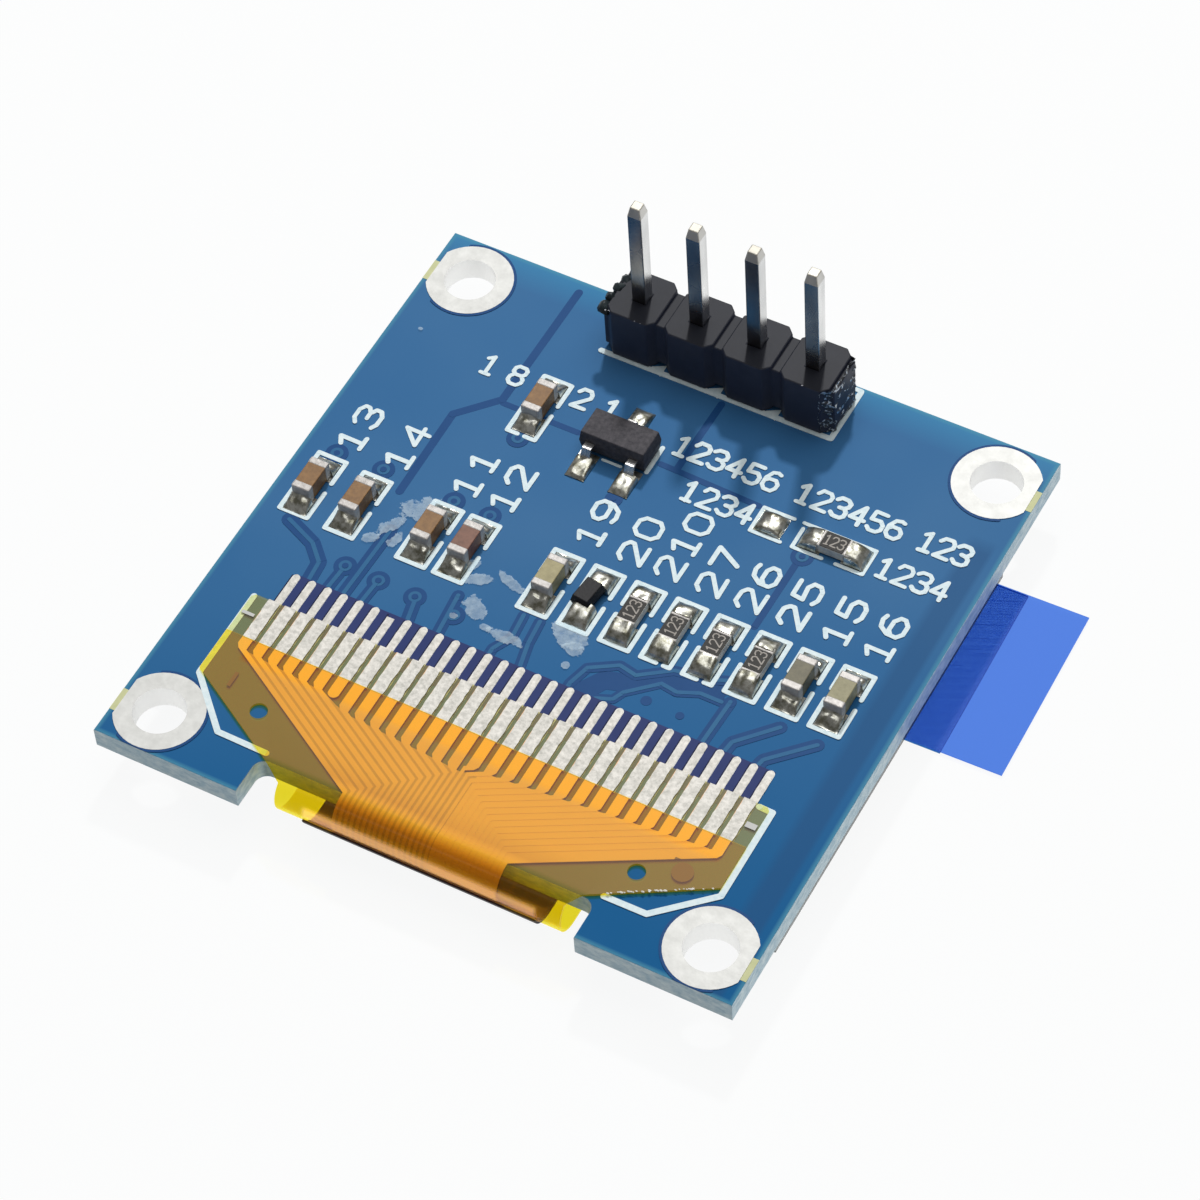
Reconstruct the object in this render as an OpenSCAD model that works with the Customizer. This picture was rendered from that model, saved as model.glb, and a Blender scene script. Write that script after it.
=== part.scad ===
// Small OLED display module, lying on its display face with the component side up.
// Millimetres. X runs along the pin header, Y from the flex notch towards the header, +Z is up.
// The origin is on the resting plane, under the centre of the circuit board.

/* [Circuit board] */
// Board width, along X
board_w = 27; // [26.4:0.1:32]
// Board length, along Y
board_l = 27.6; // [27:0.1:34]
// Board thickness
board_t = 1; // [0.8:0.1:1.6]
// Height of copper lands and rings above the board
land_t = 0.04; // [0.02:0.01:0.07]
// Offset of the copper pattern from the board's centre, along X
pattern_x = -0.1; // [-0.3:0.05:0.1]
// Offset of the copper pattern from the board's centre, along Y
pattern_y = -0.07; // [-0.2:0.01:0.2]

/* [Flex notch] */
// Width of the notch in the near edge
notch_w = 14.3; // [14.2:0.1:16]
// Depth of the notch
notch_d = 1.7; // [1.2:0.1:2]
// Radius of the notch's inner corners
notch_r = 0.5; // [0.3:0.1:0.6]

/* [Mounting holes] */
// Radius of the plated holes
hole_r = 1.05; // [0.8:0.05:1.3]
// Wall of the plating in the holes
plating_t = 0.04; // [0.03:0.01:0.08]
// Distance of the hole centres from the side edges
hole_inset_x = 1.8; // [1.7:0.05:2.2]
// Distance of the hole centres from the near and far edges
hole_inset_y = 1.9; // [1.8:0.05:2.2]
// Radius of the rings
ring_r = 1.78; // [1.5:0.02:1.8]
// Bare strip between a ring and the board edge
ring_setback = 0.25; // [0.1:0.05:0.4]

/* [Pin header] */
// Pitch of the pins
pin_pitch = 2.54; // [2:0.01:2.8]
// Side of the square pins
pin_w = 0.6; // [0.5:0.02:0.66]
// Length of a pin above the housing
pin_top = 5.4; // [3:0.1:12]
// Length of the taper at a pin's ends
pin_taper = 0.45; // [0.2:0.05:0.9]
// Side of the flat at a pin's ends
pin_flat = 0.42; // [0.2:0.02:0.46]
// Height of the housing
housing_h = 2.54; // [1.5:0.01:4]
// Depth of the housing, along Y
housing_d = 2.46; // [2:0.02:2.8]
// Width of the web between two modules
web_w = 0.38; // [0.2:0.02:0.6]
// How far the web lies back from the housing's faces
web_set = 0.3; // [0.1:0.05:0.5]
// Distance of the pin row from the far board edge
header_inset = 1.6; // [1.5:0.05:2]
// Radius of the header's plated holes
header_hole_r = 0.5; // [0.48:0.01:0.6]
// Radius of the header's rings
header_ring_r = 0.85; // [0.75:0.01:0.95]
// Height of the solder cones
cone_h = 1.1; // [0.6:0.1:1.3]
// Gap between the pins' soldered ends and the resting plane
tail_gap = 0.1; // [0.05:0.05:0.4]

/* [Chips] */
// Length of a chip
chip_l = 1.6; // [1.4:0.02:1.7]
// Width of a chip
chip_w = 0.8; // [0.6:0.02:0.9]
// Height of a chip capacitor
capacitor_h = 0.8; // [0.5:0.05:1]
// Height of a chip resistor
resistor_h = 0.45; // [0.35:0.05:0.6]
// Length of a chip's plated end
end_l = 0.32; // [0.2:0.02:0.4]
// Thickness of a chip's plated end
end_t = 0.02; // [0.01:0.01:0.04]
// Pitch of the chip row
chip_pitch = 1.778; // [1.7:0.002:1.8]
// Distance from a chip's centre to the outer ends of its lands
land_out = 1.42; // [1.2:0.02:1.5]
// Distance from a chip's centre to the inner ends of its lands
land_in = 0.46; // [0.3:0.02:0.5]
// Width of a chip's lands
land_w = 1; // [0.92:0.02:1.1]
// Length of the lone land, along X
lone_land_l = 1.15; // [1:0.05:1.3]

/* [Regulator] */
// Length of the regulator's body, along X
regulator_w = 2.9; // [2.6:0.05:3.1]
// Depth of the regulator's body, along Y
regulator_d = 1.45; // [1.3:0.05:1.6]
// Height of the regulator's body
regulator_h = 1.02; // [0.8:0.02:1.2]
// Pitch of the two front leads
lead_pitch = 1.9; // [1.8:0.05:2]
// Width of a lead
lead_w = 0.4; // [0.3:0.02:0.5]
// Thickness of a lead
lead_t = 0.13; // [0.1:0.01:0.18]
// Distance from the centre to the leads' tips
lead_reach = 1.5; // [1.4:0.02:1.6]
// Width of a lead's land
lead_land_w = 0.84; // [0.7:0.02:1]
// Distance from the centre to the outer ends of the leads' lands
lead_land_out = 2.1; // [1.9:0.05:2.2]

/* [Diode] */
// Length of the diode's body
diode_l = 1.2; // [1:0.05:1.3]
// Width of the diode's body
diode_w = 0.84; // [0.7:0.02:0.9]
// Height of the diode's body
diode_h = 0.66; // [0.5:0.02:0.8]
// Turn of the hand-placed diode, in degrees
diode_turn = -7; // [-10:1:10]

/* [Flex tail] */
// Number of fingers
finger_count = 30; // [20:1:30]
// Pitch of the fingers
finger_pitch = 0.705; // [0.6:0.005:0.72]
// Width of a finger on the flex
finger_w = 0.46; // [0.36:0.01:0.5]
// Width of a finger pad on the board
pad_w = 0.33; // [0.25:0.01:0.4]
// Distance from the notch to the finger pads' tips
pad_reach = 8; // [7.4:0.05:8.4]
// Distance from the notch to the flex's free edge
flex_reach = 6.45; // [6.2:0.05:6.8]
// Length of the bare, tinned stretch of the fingers
tin_l = 1.95; // [1.5:0.05:2.2]
// Width of the film on the board
film_w = 22.24; // [21.8:0.02:23]
// Distance from the notch to the start of the fold
fold_lead = 0.03; // [0.01:0.01:0.2]
// Width of the film in the fold
fold_w = 12.12; // [11:0.02:13]
// Offset of the fold's middle from the film's, along X
fold_x = 0.26; // [0:0.02:0.3]
// Length of the film's straight sides
side_l = 3.95; // [3.6:0.05:4]
// Slope of the film's shoulders, in degrees
shoulder_angle = 30; // [28:1:31]
// Width of a trace in the fan
fan_trace_w = 0.2; // [0.12:0.01:0.22]
// Width of a trace in the fold
trace_w = 0.14; // [0.1:0.01:0.16]
// Pitch of the traces in the fold
trace_pitch = 0.245; // [0.22:0.005:0.27]
// Slope of the fan's traces on the left, in degrees
left_fan_angle = 30; // [28:0.5:31]
// Slope of the fan's traces on the right, in degrees
right_fan_angle = 28.5; // [28:0.5:31]
// Distance from the cover film's edge to the bend of the outermost trace on the left
left_fan_lead = 0.48; // [0.3:0.01:0.7]
// Distance from the cover film's edge to the bend of the outermost trace on the right
right_fan_lead = 0.62; // [0.3:0.01:0.7]
// Extra width of the last trace, on its outer side
last_extra = 0.22; // [0:0.02:0.3]
// Radius of the two holes in the film
film_hole_r = 0.35; // [0.2:0.05:0.5]
// Thickness of the base film
base_t = 0.05; // [0.03:0.01:0.08]
// Thickness of the copper
trace_t = 0.03; // [0.02:0.01:0.05]
// Thickness of the cover film
cover_t = 0.03; // [0.02:0.01:0.05]
// Width of the dark tape on the fold
fold_tape_w = 9.9; // [8:0.1:11]
// Thickness of the dark tape on the fold
fold_tape_t = 0.1; // [0.05:0.01:0.15]

/* [Display] */
// Width of the glass
glass_w = 26.7; // [26:0.1:28]
// Length of the display glass
glass_l = 19.26; // [18.6:0.02:19.4]
// Thickness of the display glass
glass_t = 0.6; // [0.5:0.05:0.8]
// Width of the bare ledge of the display glass
ledge_l = 4; // [3.6:0.1:4.6]
// Thickness of the cap glass
cap_t = 0.6; // [0.5:0.05:0.8]
// Depth of the hollow in the cap glass
hollow_t = 0.2; // [0.12:0.02:0.3]
// Width of the picture area
active_w = 21.74; // [20:0.01:22]
// Length of the picture area
active_l = 10.86; // [9:0.01:11]
// Bare rim of the glass beside the polarizer
polarizer_rim = 0.5; // [0.4:0.1:1]
// Length of the polarizer
polarizer_l = 14.2; // [13:0.1:14.5]
// Thickness of the polarizer
polarizer_t = 0.2; // [0.15:0.05:0.3]
// Thickness of the bonding films
bond_t = 0.02; // [0.01:0.01:0.03]
// Thickness of the double-sided tape
tape_t = 0.3; // [0.2:0.05:0.5]
// Width of the double-sided tape
tape_w = 22; // [18:0.5:24]
// Length of the double-sided tape
tape_l = 12; // [8:0.5:13]
// Offset of the hand-placed display and flex, along X
display_x = -0.25; // [-0.3:0.05:0]

/* [Protective film] */
// Thickness of the protective film
guard_t = 0.1; // [0.05:0.01:0.15]
// Width of the pull tab
tab_w = 8.15; // [5:0.05:9]
// Length of the pull tab
tab_l = 4.2; // [3:0.1:8]
// Thickness of the pull tab
tab_t = 0.06; // [0.04:0.01:0.12]
// Length of the film's tongue under the pull tab
tongue_l = 1.65; // [1:0.05:2.5]
// Place of the pull tab's centre, along Y
tab_y = 5.2; // [4.8:0.1:6]
// Turn of the pull tab, in degrees
tab_turn = 1.2; // [0:0.1:2]

/* [Hidden] */
$fn = 48;
eps = 0.5;

// Levels of the stack, from the resting plane up
guard_top = guard_t;
polarizer_top = guard_top + polarizer_t;
glass_top = polarizer_top + glass_t;
cap_top = glass_top + cap_t;
board_bottom = cap_top + tape_t;
board_top = board_bottom + board_t;
land_top = board_top + land_t;

// Places on the board
notch_y = -board_l / 2 + notch_d;
hole_x = board_w / 2 - hole_inset_x;
hole_y = board_l / 2 - hole_inset_y;
board_hole_r = hole_r + plating_t;
header_y = board_l / 2 - header_inset;
pin_xs = [for (i = [0:3]) pattern_x + (i - 1.5) * pin_pitch];
row_y = pattern_y - 0.06;
row_x = pattern_x + 0.46;
upper_y = pattern_y + 6.21;

// Chips: centre x, centre y, turn about Z, length, width, height
CAPACITORS = [
    [pattern_x - 11.92, row_y, 0, chip_l, chip_w, capacitor_h],
    [pattern_x - 9.84, row_y, 0, chip_l, chip_w, capacitor_h],
    [pattern_x - 6.64, row_y, 0, chip_l, chip_w, capacitor_h],
    [pattern_x - 5, row_y, 0, chip_l, chip_w, capacitor_h],
    [row_x - chip_pitch, row_y, 0, chip_l + 0.06, chip_w + 0.06, capacitor_h],
    [row_x + 5 * chip_pitch, row_y, 0, chip_l, chip_w, capacitor_h],
    [row_x + 6 * chip_pitch, row_y, 0, chip_l, chip_w, capacitor_h],
    [pattern_x - 5.86, upper_y + 1.14, 0, chip_l, chip_w, capacitor_h]
];
RESISTORS = [
    for (i = [1:4]) [row_x + i * chip_pitch, row_y, 0, chip_l, chip_w, resistor_h],
    [pattern_x + 7.68, upper_y, 90, chip_l, chip_w, resistor_h]
];
DIODE = [row_x, row_y, 0];
REGULATOR = [pattern_x - 2.02, upper_y + 0.72, 0];
JUMPER = [pattern_x + 4.97, upper_y];

// Flex tail: where the fingers start and the cover film starts, and the round of the fold
finger_top_y = notch_y + flex_reach;
cover_y = finger_top_y - tin_l;
shoulder_y = finger_top_y - side_l;
flex_low = glass_top + bond_t;
inner_r = (land_top - flex_low - trace_t - base_t) / 2;
fold_z = land_top - inner_r;
fold_y = notch_y - fold_lead;
copper_r = inner_r + base_t;
cover_r = copper_r + trace_t;
outer_r = cover_r + cover_t;
shoulder_w = film_w - 2 * (shoulder_y - fold_y) / tan(shoulder_angle);
narrow_drop = 0.15;
copper_top = land_top + base_t;
cover_bottom = copper_top + trace_t;

// Fan of the traces: the outermost bends first, each next one a step further down. The unused
// finger has no trace, and the traces beyond it close up by one pitch.
fan_steps = [0.064, 0.057];
half_count = finger_count / 2;
blind_finger = 6;
function from_middle(i) = i - (finger_count - 1) / 2;
function pad_x(i) = pattern_x + 0.03 + from_middle(i) * finger_pitch;
function finger_x(i) = display_x + 0.04 + from_middle(i) * finger_pitch;
function trace_x(i) = pattern_x + (i - (i > blind_finger ? 1 : 0) - (finger_count - 2) / 2) * trace_pitch;
function fan_angle(i) = i < half_count ? left_fan_angle : right_fan_angle;
fan_pitch = finger_pitch * tan(left_fan_angle) - fan_steps[0];
function bend_y(i) = cover_y - (i < half_count
    ? left_fan_lead + i * fan_steps[0] + (i > blind_finger ? fan_pitch : 0)
    : right_fan_lead + (finger_count - 1 - i) * fan_steps[1]);

// Display
polarizer_w = glass_w - 2 * polarizer_rim;
glass_y = pattern_y - glass_l / 2;
cap_l = glass_l - ledge_l;
cap_y = glass_y + ledge_l;
picture_y = cap_y + cap_l / 2 + 0.3;
bond_l = 1.2;
driver = [8, 1, 0.3];
driver_y = glass_y + 2.3;

// Basic shapes
module block(x0, x1, y0, y1, z0, z1) {
    translate([x0, y0, z0]) cube([x1 - x0, y1 - y0, z1 - z0]);
}

module plate(w, l, t, z) {
    translate([-w / 2, -l / 2, z]) cube([w, l, t]);
}

module tube(r1, r2, h, z) {
    translate([0, 0, z]) difference() {
        cylinder(r = r2, h = h);
        translate([0, 0, -eps]) cylinder(r = r1, h = h + 2 * eps);
    }
}

// Places a chip's parts: length along Y, seated on its lands
module at_chip(c) {
    translate([c[0], c[1], land_top]) rotate([0, 0, c[2]]) children();
}

// Circuit board and its copper
module board_outline() {
    difference() {
        square([board_w, board_l], center = true);
        translate([pattern_x, -board_l / 2]) notch_outline();
    }
}

module notch_outline() {
    translate([-notch_w / 2, -eps]) square([notch_w, notch_d + eps - notch_r]);
    translate([-notch_w / 2 + notch_r, -eps]) square([notch_w - 2 * notch_r, notch_d + eps]);
    for (s = [-1, 1]) translate([s * (notch_w / 2 - notch_r), notch_d - notch_r]) circle(r = notch_r);
}

module at_mounting_holes() {
    for (sx = [-1, 1], sy = [-1, 1]) translate([sx * hole_x, pattern_y + sy * hole_y, 0]) children();
}

module circuit_board() {
    color("steelblue") difference() {
        translate([0, 0, board_bottom]) linear_extrude(board_t) board_outline();
        at_mounting_holes() translate([0, 0, board_bottom - eps])
            cylinder(r = board_hole_r, h = board_t + 2 * eps);
        for (x = pin_xs) translate([x, header_y, board_bottom - eps])
            cylinder(r = header_hole_r + plating_t, h = board_t + 2 * eps);
    }
}

module mounting_hole_plating() {
    edge = board_w - 2 * ring_setback;
    color("gainsboro") intersection() {
        at_mounting_holes() {
            tube(hole_r, board_hole_r, board_t + 2 * land_t, board_bottom - land_t);
            tube(hole_r, ring_r, land_t, board_top);
            tube(hole_r, ring_r, land_t, board_bottom - land_t);
        }
        plate(edge, board_l, board_t + 2 * eps, board_bottom - eps);
    }
}

module header_hole_plating() {
    color("gainsboro") for (x = pin_xs) translate([x, header_y, 0]) {
        tube(header_hole_r, header_hole_r + plating_t, board_t + 2 * land_t, board_bottom - land_t);
        tube(header_hole_r, header_ring_r, land_t, board_top);
        tube(header_hole_r, header_ring_r, land_t, board_bottom - land_t);
    }
}

module chip_land_pair() {
    for (s = [-1, 1]) translate([0, s * (land_in + land_out) / 2, 0])
        plate(land_w, land_out - land_in, land_t, -land_t);
}

module chip_lands() {
    color("silver") {
        for (c = CAPACITORS) at_chip(c) chip_land_pair();
        for (c = RESISTORS) at_chip(c) chip_land_pair();
        at_chip(DIODE) chip_land_pair();
        at_chip(REGULATOR) at_leads()
            block(-lead_land_w / 2, lead_land_w / 2, regulator_d / 2, lead_land_out, -land_t, 0);
        translate([JUMPER[0], JUMPER[1], board_top]) plate(lone_land_l, land_w, land_t, 0);
    }
}

// The pad of the unused finger is shorter than the others and has a square end
module finger_pads() {
    short_by = 0.2;
    color("whitesmoke") for (i = [0:finger_count - 1]) translate([pad_x(i), 0, board_top]) {
        tip_y = notch_y + pad_reach - (i == blind_finger ? short_by : pad_w / 2);
        block(-pad_w / 2, pad_w / 2, cover_y, tip_y, 0, land_t);
        if (i != blind_finger) translate([0, tip_y, 0]) intersection() {
            cylinder(r = pad_w / 2, h = land_t);
            block(-pad_w, pad_w, 0, pad_w, -eps, eps);
        }
    }
}

// Pin header
module module_outline() {
    x = pin_pitch / 2 - web_w / 2;
    y = housing_d / 2;
    polygon([
        [-x + web_set, -y], [x - web_set, -y], [x, -y + web_set], [x, y - web_set],
        [x - web_set, y], [-x + web_set, y], [-x, y - web_set], [-x, -y + web_set]
    ]);
}

module header_housing() {
    web_drop = 0.16;
    color("dimgray") difference() {
        union() {
            for (x = pin_xs) translate([x, header_y, land_top]) linear_extrude(housing_h) module_outline();
            block(pin_xs[0] - pin_pitch / 2, pin_xs[3] + pin_pitch / 2, header_y - housing_d / 2 + web_set,
                header_y + housing_d / 2 - web_set, land_top + web_drop, land_top + housing_h - web_drop);
        }
        for (x = pin_xs) translate([x, header_y, 0]) plate(pin_w, pin_w, board_top + housing_h + eps, eps);
    }
}

// A square pin with a four-sided taper at both ends
module pin_side(length) {
    tip = pin_flat / 2;
    rotate([90, 0, 0]) linear_extrude(pin_w, center = true) polygon([
        [-tip, 0], [tip, 0], [pin_w / 2, pin_taper], [pin_w / 2, length - pin_taper],
        [tip, length], [-tip, length], [-pin_w / 2, length - pin_taper], [-pin_w / 2, pin_taper]
    ]);
}

module header_pin(i) {
    length = land_top + housing_h + pin_top - tail_gap;
    color("lightslategray") translate([pin_xs[i - 1], header_y, tail_gap]) intersection() {
        pin_side(length);
        rotate([0, 0, 90]) pin_side(length);
    }
}

// Solder fills each header hole and ends in a hollow-sided cone below the board
module header_solder() {
    tip_r = pin_w * 0.78;
    low = board_bottom - land_t;
    rim_r = header_ring_r - 0.04;
    cone = [for (k = [0:8]) [tip_r + (rim_r - tip_r) * pow(k / 8, 2), low - cone_h * (1 - k / 8)]];
    color("silver") for (x = pin_xs) translate([x, header_y, 0]) difference() {
        rotate_extrude() polygon(concat([[0, low - cone_h]], cone, [
            [header_hole_r, low], [header_hole_r, land_top], [0, land_top]
        ]));
        plate(pin_w, pin_w, land_top + 2 * eps, -eps);
    }
}

// Chips
module chip_block(c, shrink) {
    plate(c[4] - 2 * shrink, c[3] - 2 * shrink, c[5] - 2 * shrink, shrink);
}

module capacitor_body(i) {
    c = CAPACITORS[i - 1];
    color("peru") at_chip(c) chip_block(c, end_t);
}

module capacitor_ends(i) {
    c = CAPACITORS[i - 1];
    color("lightgray") at_chip(c) difference() {
        chip_block(c, 0);
        chip_block(c, end_t);
        plate(c[4] + eps, c[3] - 2 * end_l, c[5] + 2 * eps, -eps);
    }
}

module resistor_body(i) {
    c = RESISTORS[i - 1];
    color("whitesmoke") at_chip(c) plate(c[4], c[3] - 2 * end_t, c[5] - 2 * end_t, end_t);
}

module resistor_ends(i) {
    c = RESISTORS[i - 1];
    color("lightgray") at_chip(c) difference() {
        plate(c[4], c[3], c[5], 0);
        plate(c[4] + eps, c[3] - 2 * end_t, c[5] - 2 * end_t, end_t);
        plate(c[4] + eps, c[3] - 2 * end_l, c[5] + 2 * eps, -eps);
    }
}

module resistor_glazes() {
    color("black") for (c = RESISTORS) at_chip(c)
        plate(c[4] - 0.04, c[3] - 2 * end_l, end_t, c[5] - end_t);
}

// A moulded body: sides drafted up and down from the parting line at the leads
module moulded_side(w, d, h, draft) {
    rotate([90, 0, 0]) linear_extrude(d + eps, center = true) polygon([
        [-w / 2 + draft, 0], [w / 2 - draft, 0], [w / 2, h / 2],
        [w / 2 - draft, h], [-w / 2 + draft, h], [-w / 2, h / 2]
    ]);
}

module moulded_body(w, d, h, draft) {
    intersection() {
        moulded_side(w, d, h, draft);
        rotate([0, 0, 90]) moulded_side(d, w, h, draft);
    }
}

// A gull-wing lead that leaves the regulator along +Y, from the parting line down to its land
module gull_lead() {
    root = regulator_d / 2 - 0.2;
    knee = regulator_d / 2 + 0.26;
    foot = lead_reach - 0.32;
    rise = regulator_z + regulator_h / 2 - lead_t / 2;
    lean = lead_t * 0.4;
    translate([-lead_w / 2, 0, 0]) rotate([90, 0, 90]) linear_extrude(lead_w) polygon([
        [root, rise], [knee - lean, rise], [foot - lean, 0], [lead_reach, 0],
        [lead_reach, lead_t], [foot + lean, lead_t], [knee + lean, rise + lead_t], [root, rise + lead_t]
    ]);
}

module at_leads() {
    for (s = [-1, 1]) translate([s * lead_pitch / 2, 0, 0]) rotate([0, 0, 180]) children();
    children();
}

regulator_z = 0.06;
module regulator_body() {
    color("#2b2b2e") at_chip(REGULATOR) difference() {
        translate([0, 0, regulator_z]) moulded_body(regulator_w, regulator_d, regulator_h, 0.07);
        at_leads() gull_lead();
    }
}

module regulator_leads() {
    color("silver") at_chip(REGULATOR) at_leads() gull_lead();
}

module at_diode() {
    at_chip(DIODE) translate([-0.1, -0.05, 0]) rotate([0, 0, diode_turn]) children();
}

module diode_shape() {
    moulded_body(diode_w, diode_l, diode_h, 0.08);
}

module diode_lead_pair() {
    for (s = [-1, 1]) translate([0, s * diode_l / 2, 0]) plate(0.3, 0.4, 0.1, 0);
}

module diode_body() {
    color("#2b2b2e") at_diode() difference() {
        diode_shape();
        diode_lead_pair();
    }
}

module diode_leads() {
    color("silver") at_diode() diode_lead_pair();
}

// A solder fillet: hollow slope from a wall of the given rise down to the end of the land
module solder_fillet(w, start, end, rise) {
    rim = 0.03;
    slope = [for (k = [0:6]) [start + (end - start) * k / 6, rim + (rise - rim) * pow(1 - k / 6, 1.7)]];
    translate([-w / 2, 0, 0]) rotate([90, 0, 90]) linear_extrude(w)
        polygon(concat([[start, 0]], slope, [[end, 0]]));
}

module fillet_pair(start, rise) {
    for (a = [0, 180]) rotate([0, 0, a]) solder_fillet(land_w - 0.1, start, land_out - 0.04, rise);
}

module chip_solder() {
    color("silver") {
        for (c = CAPACITORS) at_chip(c) fillet_pair(c[3] / 2, c[5] * 0.55);
        for (c = RESISTORS) at_chip(c) fillet_pair(c[3] / 2, c[5] * 0.9);
        difference() {
            at_chip(DIODE) fillet_pair(diode_l / 2 - 0.06, diode_h * 0.7);
            at_diode() diode_shape();
            at_diode() diode_lead_pair();
        }
        at_chip(REGULATOR) at_leads() difference() {
            solder_fillet(lead_land_w - 0.08, lead_reach - 0.34, lead_land_out - 0.04, lead_t * 2);
            gull_lead();
        }
        translate([JUMPER[0] - 0.5, JUMPER[1], land_top]) rotate([90, 0, 0])
            linear_extrude(land_w - 0.14, center = true)
                polygon([for (k = [0:10]) [k / 10, 0.2 * sin(18 * k)]]);
    }
}

// A slot shape seen from the side: round the fold, with straight runs towards +Y
module fold_slot(r) {
    translate([fold_y, fold_z]) {
        circle(r = r, $fn = 96);
        translate([0, -r]) square([board_l, 2 * r]);
    }
}

// Side view of a flex layer: flat over the board from top_y, round the fold, and back to low_y
module fold_profile(r0, r1, top_y, low_y) {
    far_y = fold_y - board_l;
    intersection() {
        difference() {
            fold_slot(r1);
            fold_slot(r0);
        }
        polygon([
            [far_y, 0], [low_y, 0], [low_y, fold_z], [top_y, fold_z], [top_y, 2 * fold_z], [far_y, 2 * fold_z]
        ]);
    }
}

// Stands a side view up and draws it out along X
module along_x(x0, x1) {
    translate([x0, 0, 0]) rotate([90, 0, 90]) linear_extrude(x1 - x0) children();
}

// Plan of the film on the board: straight sides, then shoulders that slope in to the fold
module film_outline(top_y) {
    polygon([
        [-film_w / 2, top_y], [film_w / 2, top_y], [film_w / 2, shoulder_y],
        [shoulder_w / 2, fold_y], [-shoulder_w / 2, fold_y], [-film_w / 2, shoulder_y]
    ]);
}

// Front view of the film in the fold: it narrows just below the level z of its top run
module film_front(z, thick) {
    left = fold_x - fold_w / 2;
    right = fold_x + fold_w / 2;
    polygon([
        [-shoulder_w / 2, z + 1], [shoulder_w / 2, z + 1], [shoulder_w / 2, z + thick],
        [right, z - narrow_drop], [right, 0], [left, 0], [left, z - narrow_drop], [-shoulder_w / 2, z + thick]
    ]);
}

module film_layer(r0, thick, top_y, low_y) {
    z = fold_z + r0;
    translate([display_x, 0, 0]) difference() {
        intersection() {
            along_x(-film_w / 2 - eps, film_w / 2 + eps) fold_profile(r0, r0 + thick, top_y, low_y);
            union() {
                translate([0, 0, fold_z]) linear_extrude(r0 + 1) film_outline(top_y + eps);
                translate([0, board_l / 2, 0]) rotate([90, 0, 0]) linear_extrude(board_l) film_front(z, thick);
            }
        }
        for (s = [-1, 1]) translate([s * 8.05, shoulder_y - 0.75, z - eps])
            cylinder(r = film_hole_r, h = thick + 2 * eps);
    }
}

module flex_film() {
    color("#a58a4a") film_layer(inner_r, base_t, finger_top_y, glass_y + 0.1 + bond_l);
}

module flex_cover() {
    color("#c98f3c") film_layer(cover_r, cover_t, cover_y, glass_y - 0.3);
}

// Plan of one trace: its finger, the slope of the fan and the straight run into the fold
module trace_outline(i) {
    s = i < half_count ? 1 : -1;
    x = s * finger_x(i);
    t = s * trace_x(i);
    rise = tan(fan_angle(i));
    half = fan_trace_w / 2 / cos(fan_angle(i));
    low = half + (i == finger_count - 1 ? last_extra : 0);
    function slope_y(at_x, edge) = bend_y(i) + edge - rise * (at_x - x);
    round_x = x - finger_w / 2 + 0.12;
    mirror([s < 0 ? 1 : 0, 0]) polygon([
        [x - finger_w / 2, finger_top_y], [x + finger_w / 2, finger_top_y],
        [x + finger_w / 2, slope_y(x + finger_w / 2, half)], [t + trace_w / 2, slope_y(t + trace_w / 2, half)],
        [t + trace_w / 2, fold_y], [t - trace_w / 2, fold_y],
        [t - trace_w / 2, max(fold_y, slope_y(t - trace_w / 2, -low))],
        [round_x, slope_y(round_x, -low)], [x - finger_w / 2, slope_y(x - finger_w / 2, -low) + 0.12]
    ]);
}

module trace(i) {
    x0 = trace_x(i) - trace_w / 2;
    x1 = trace_x(i) + trace_w / 2;
    translate([0, 0, copper_top]) linear_extrude(trace_t) trace_outline(i);
    along_x(x0, x1) fold_profile(copper_r, cover_r, fold_y + 0.1, glass_y + 0.1 + bond_l);
}

// The unused finger ends in a half round and has no trace
module blind_end(i) {
    end_y = bend_y(i) + 0.12;
    translate([finger_x(i), 0, copper_top]) {
        block(-finger_w / 2, finger_w / 2, end_y, finger_top_y, 0, trace_t);
        translate([0, end_y, 0]) intersection() {
            cylinder(r = finger_w / 2, h = trace_t);
            block(-finger_w, finger_w, -finger_w, 0, -eps, eps);
        }
    }
}

module flex_traces() {
    color("#e8a040") {
        for (i = [0:finger_count - 1]) if (i != blind_finger) trace(i);
        blind_end(blind_finger);
        flex_marks();
    }
}

// Register marks, a bare dash and a round dot etched beside the traces
module flex_marks() {
    translate([display_x, 0, copper_top]) {
        block(-film_w / 2 + 0.06, -film_w / 2 + 0.6, finger_top_y - 1, finger_top_y - 0.86, 0, trace_t);
        block(film_w / 2 - 0.5, film_w / 2 - 0.06, finger_top_y - 1.15, finger_top_y - 0.9, 0, trace_t);
        block(-9.78, -9.63, shoulder_y - 0.25, shoulder_y + 0.45, 0, trace_t);
        translate([9.55, shoulder_y, 0]) cylinder(r = 0.42, h = trace_t);
    }
}

module fold_tape() {
    x = display_x + fold_x + 0.08;
    tape_drop = 0.25;
    color("#2a1c28") difference() {
        along_x(x - fold_tape_w / 2, x + fold_tape_w / 2)
            fold_profile(outer_r, outer_r + fold_tape_t, fold_y, glass_y - 0.5);
        translate([0, 0, fold_z - tape_drop]) plate(board_w, board_w * 2, board_l, 0);
    }
}

// Display, resting on the protective film
module at_display() {
    translate([display_x, 0, 0]) children();
}

module display_glass() {
    color("#9fb8b4") at_display() translate([0, glass_y + glass_l / 2, 0])
        plate(glass_w, glass_l, glass_t, polarizer_top);
}

module cap_glass() {
    color("#8fa6a8") at_display() difference() {
        block(-glass_w / 2, glass_w / 2, cap_y, cap_y + cap_l, glass_top, cap_top);
        translate([0, picture_y, 0]) plate(active_w + 1.6, active_l + 1.6, hollow_t + eps, glass_top - eps);
    }
}

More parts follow.
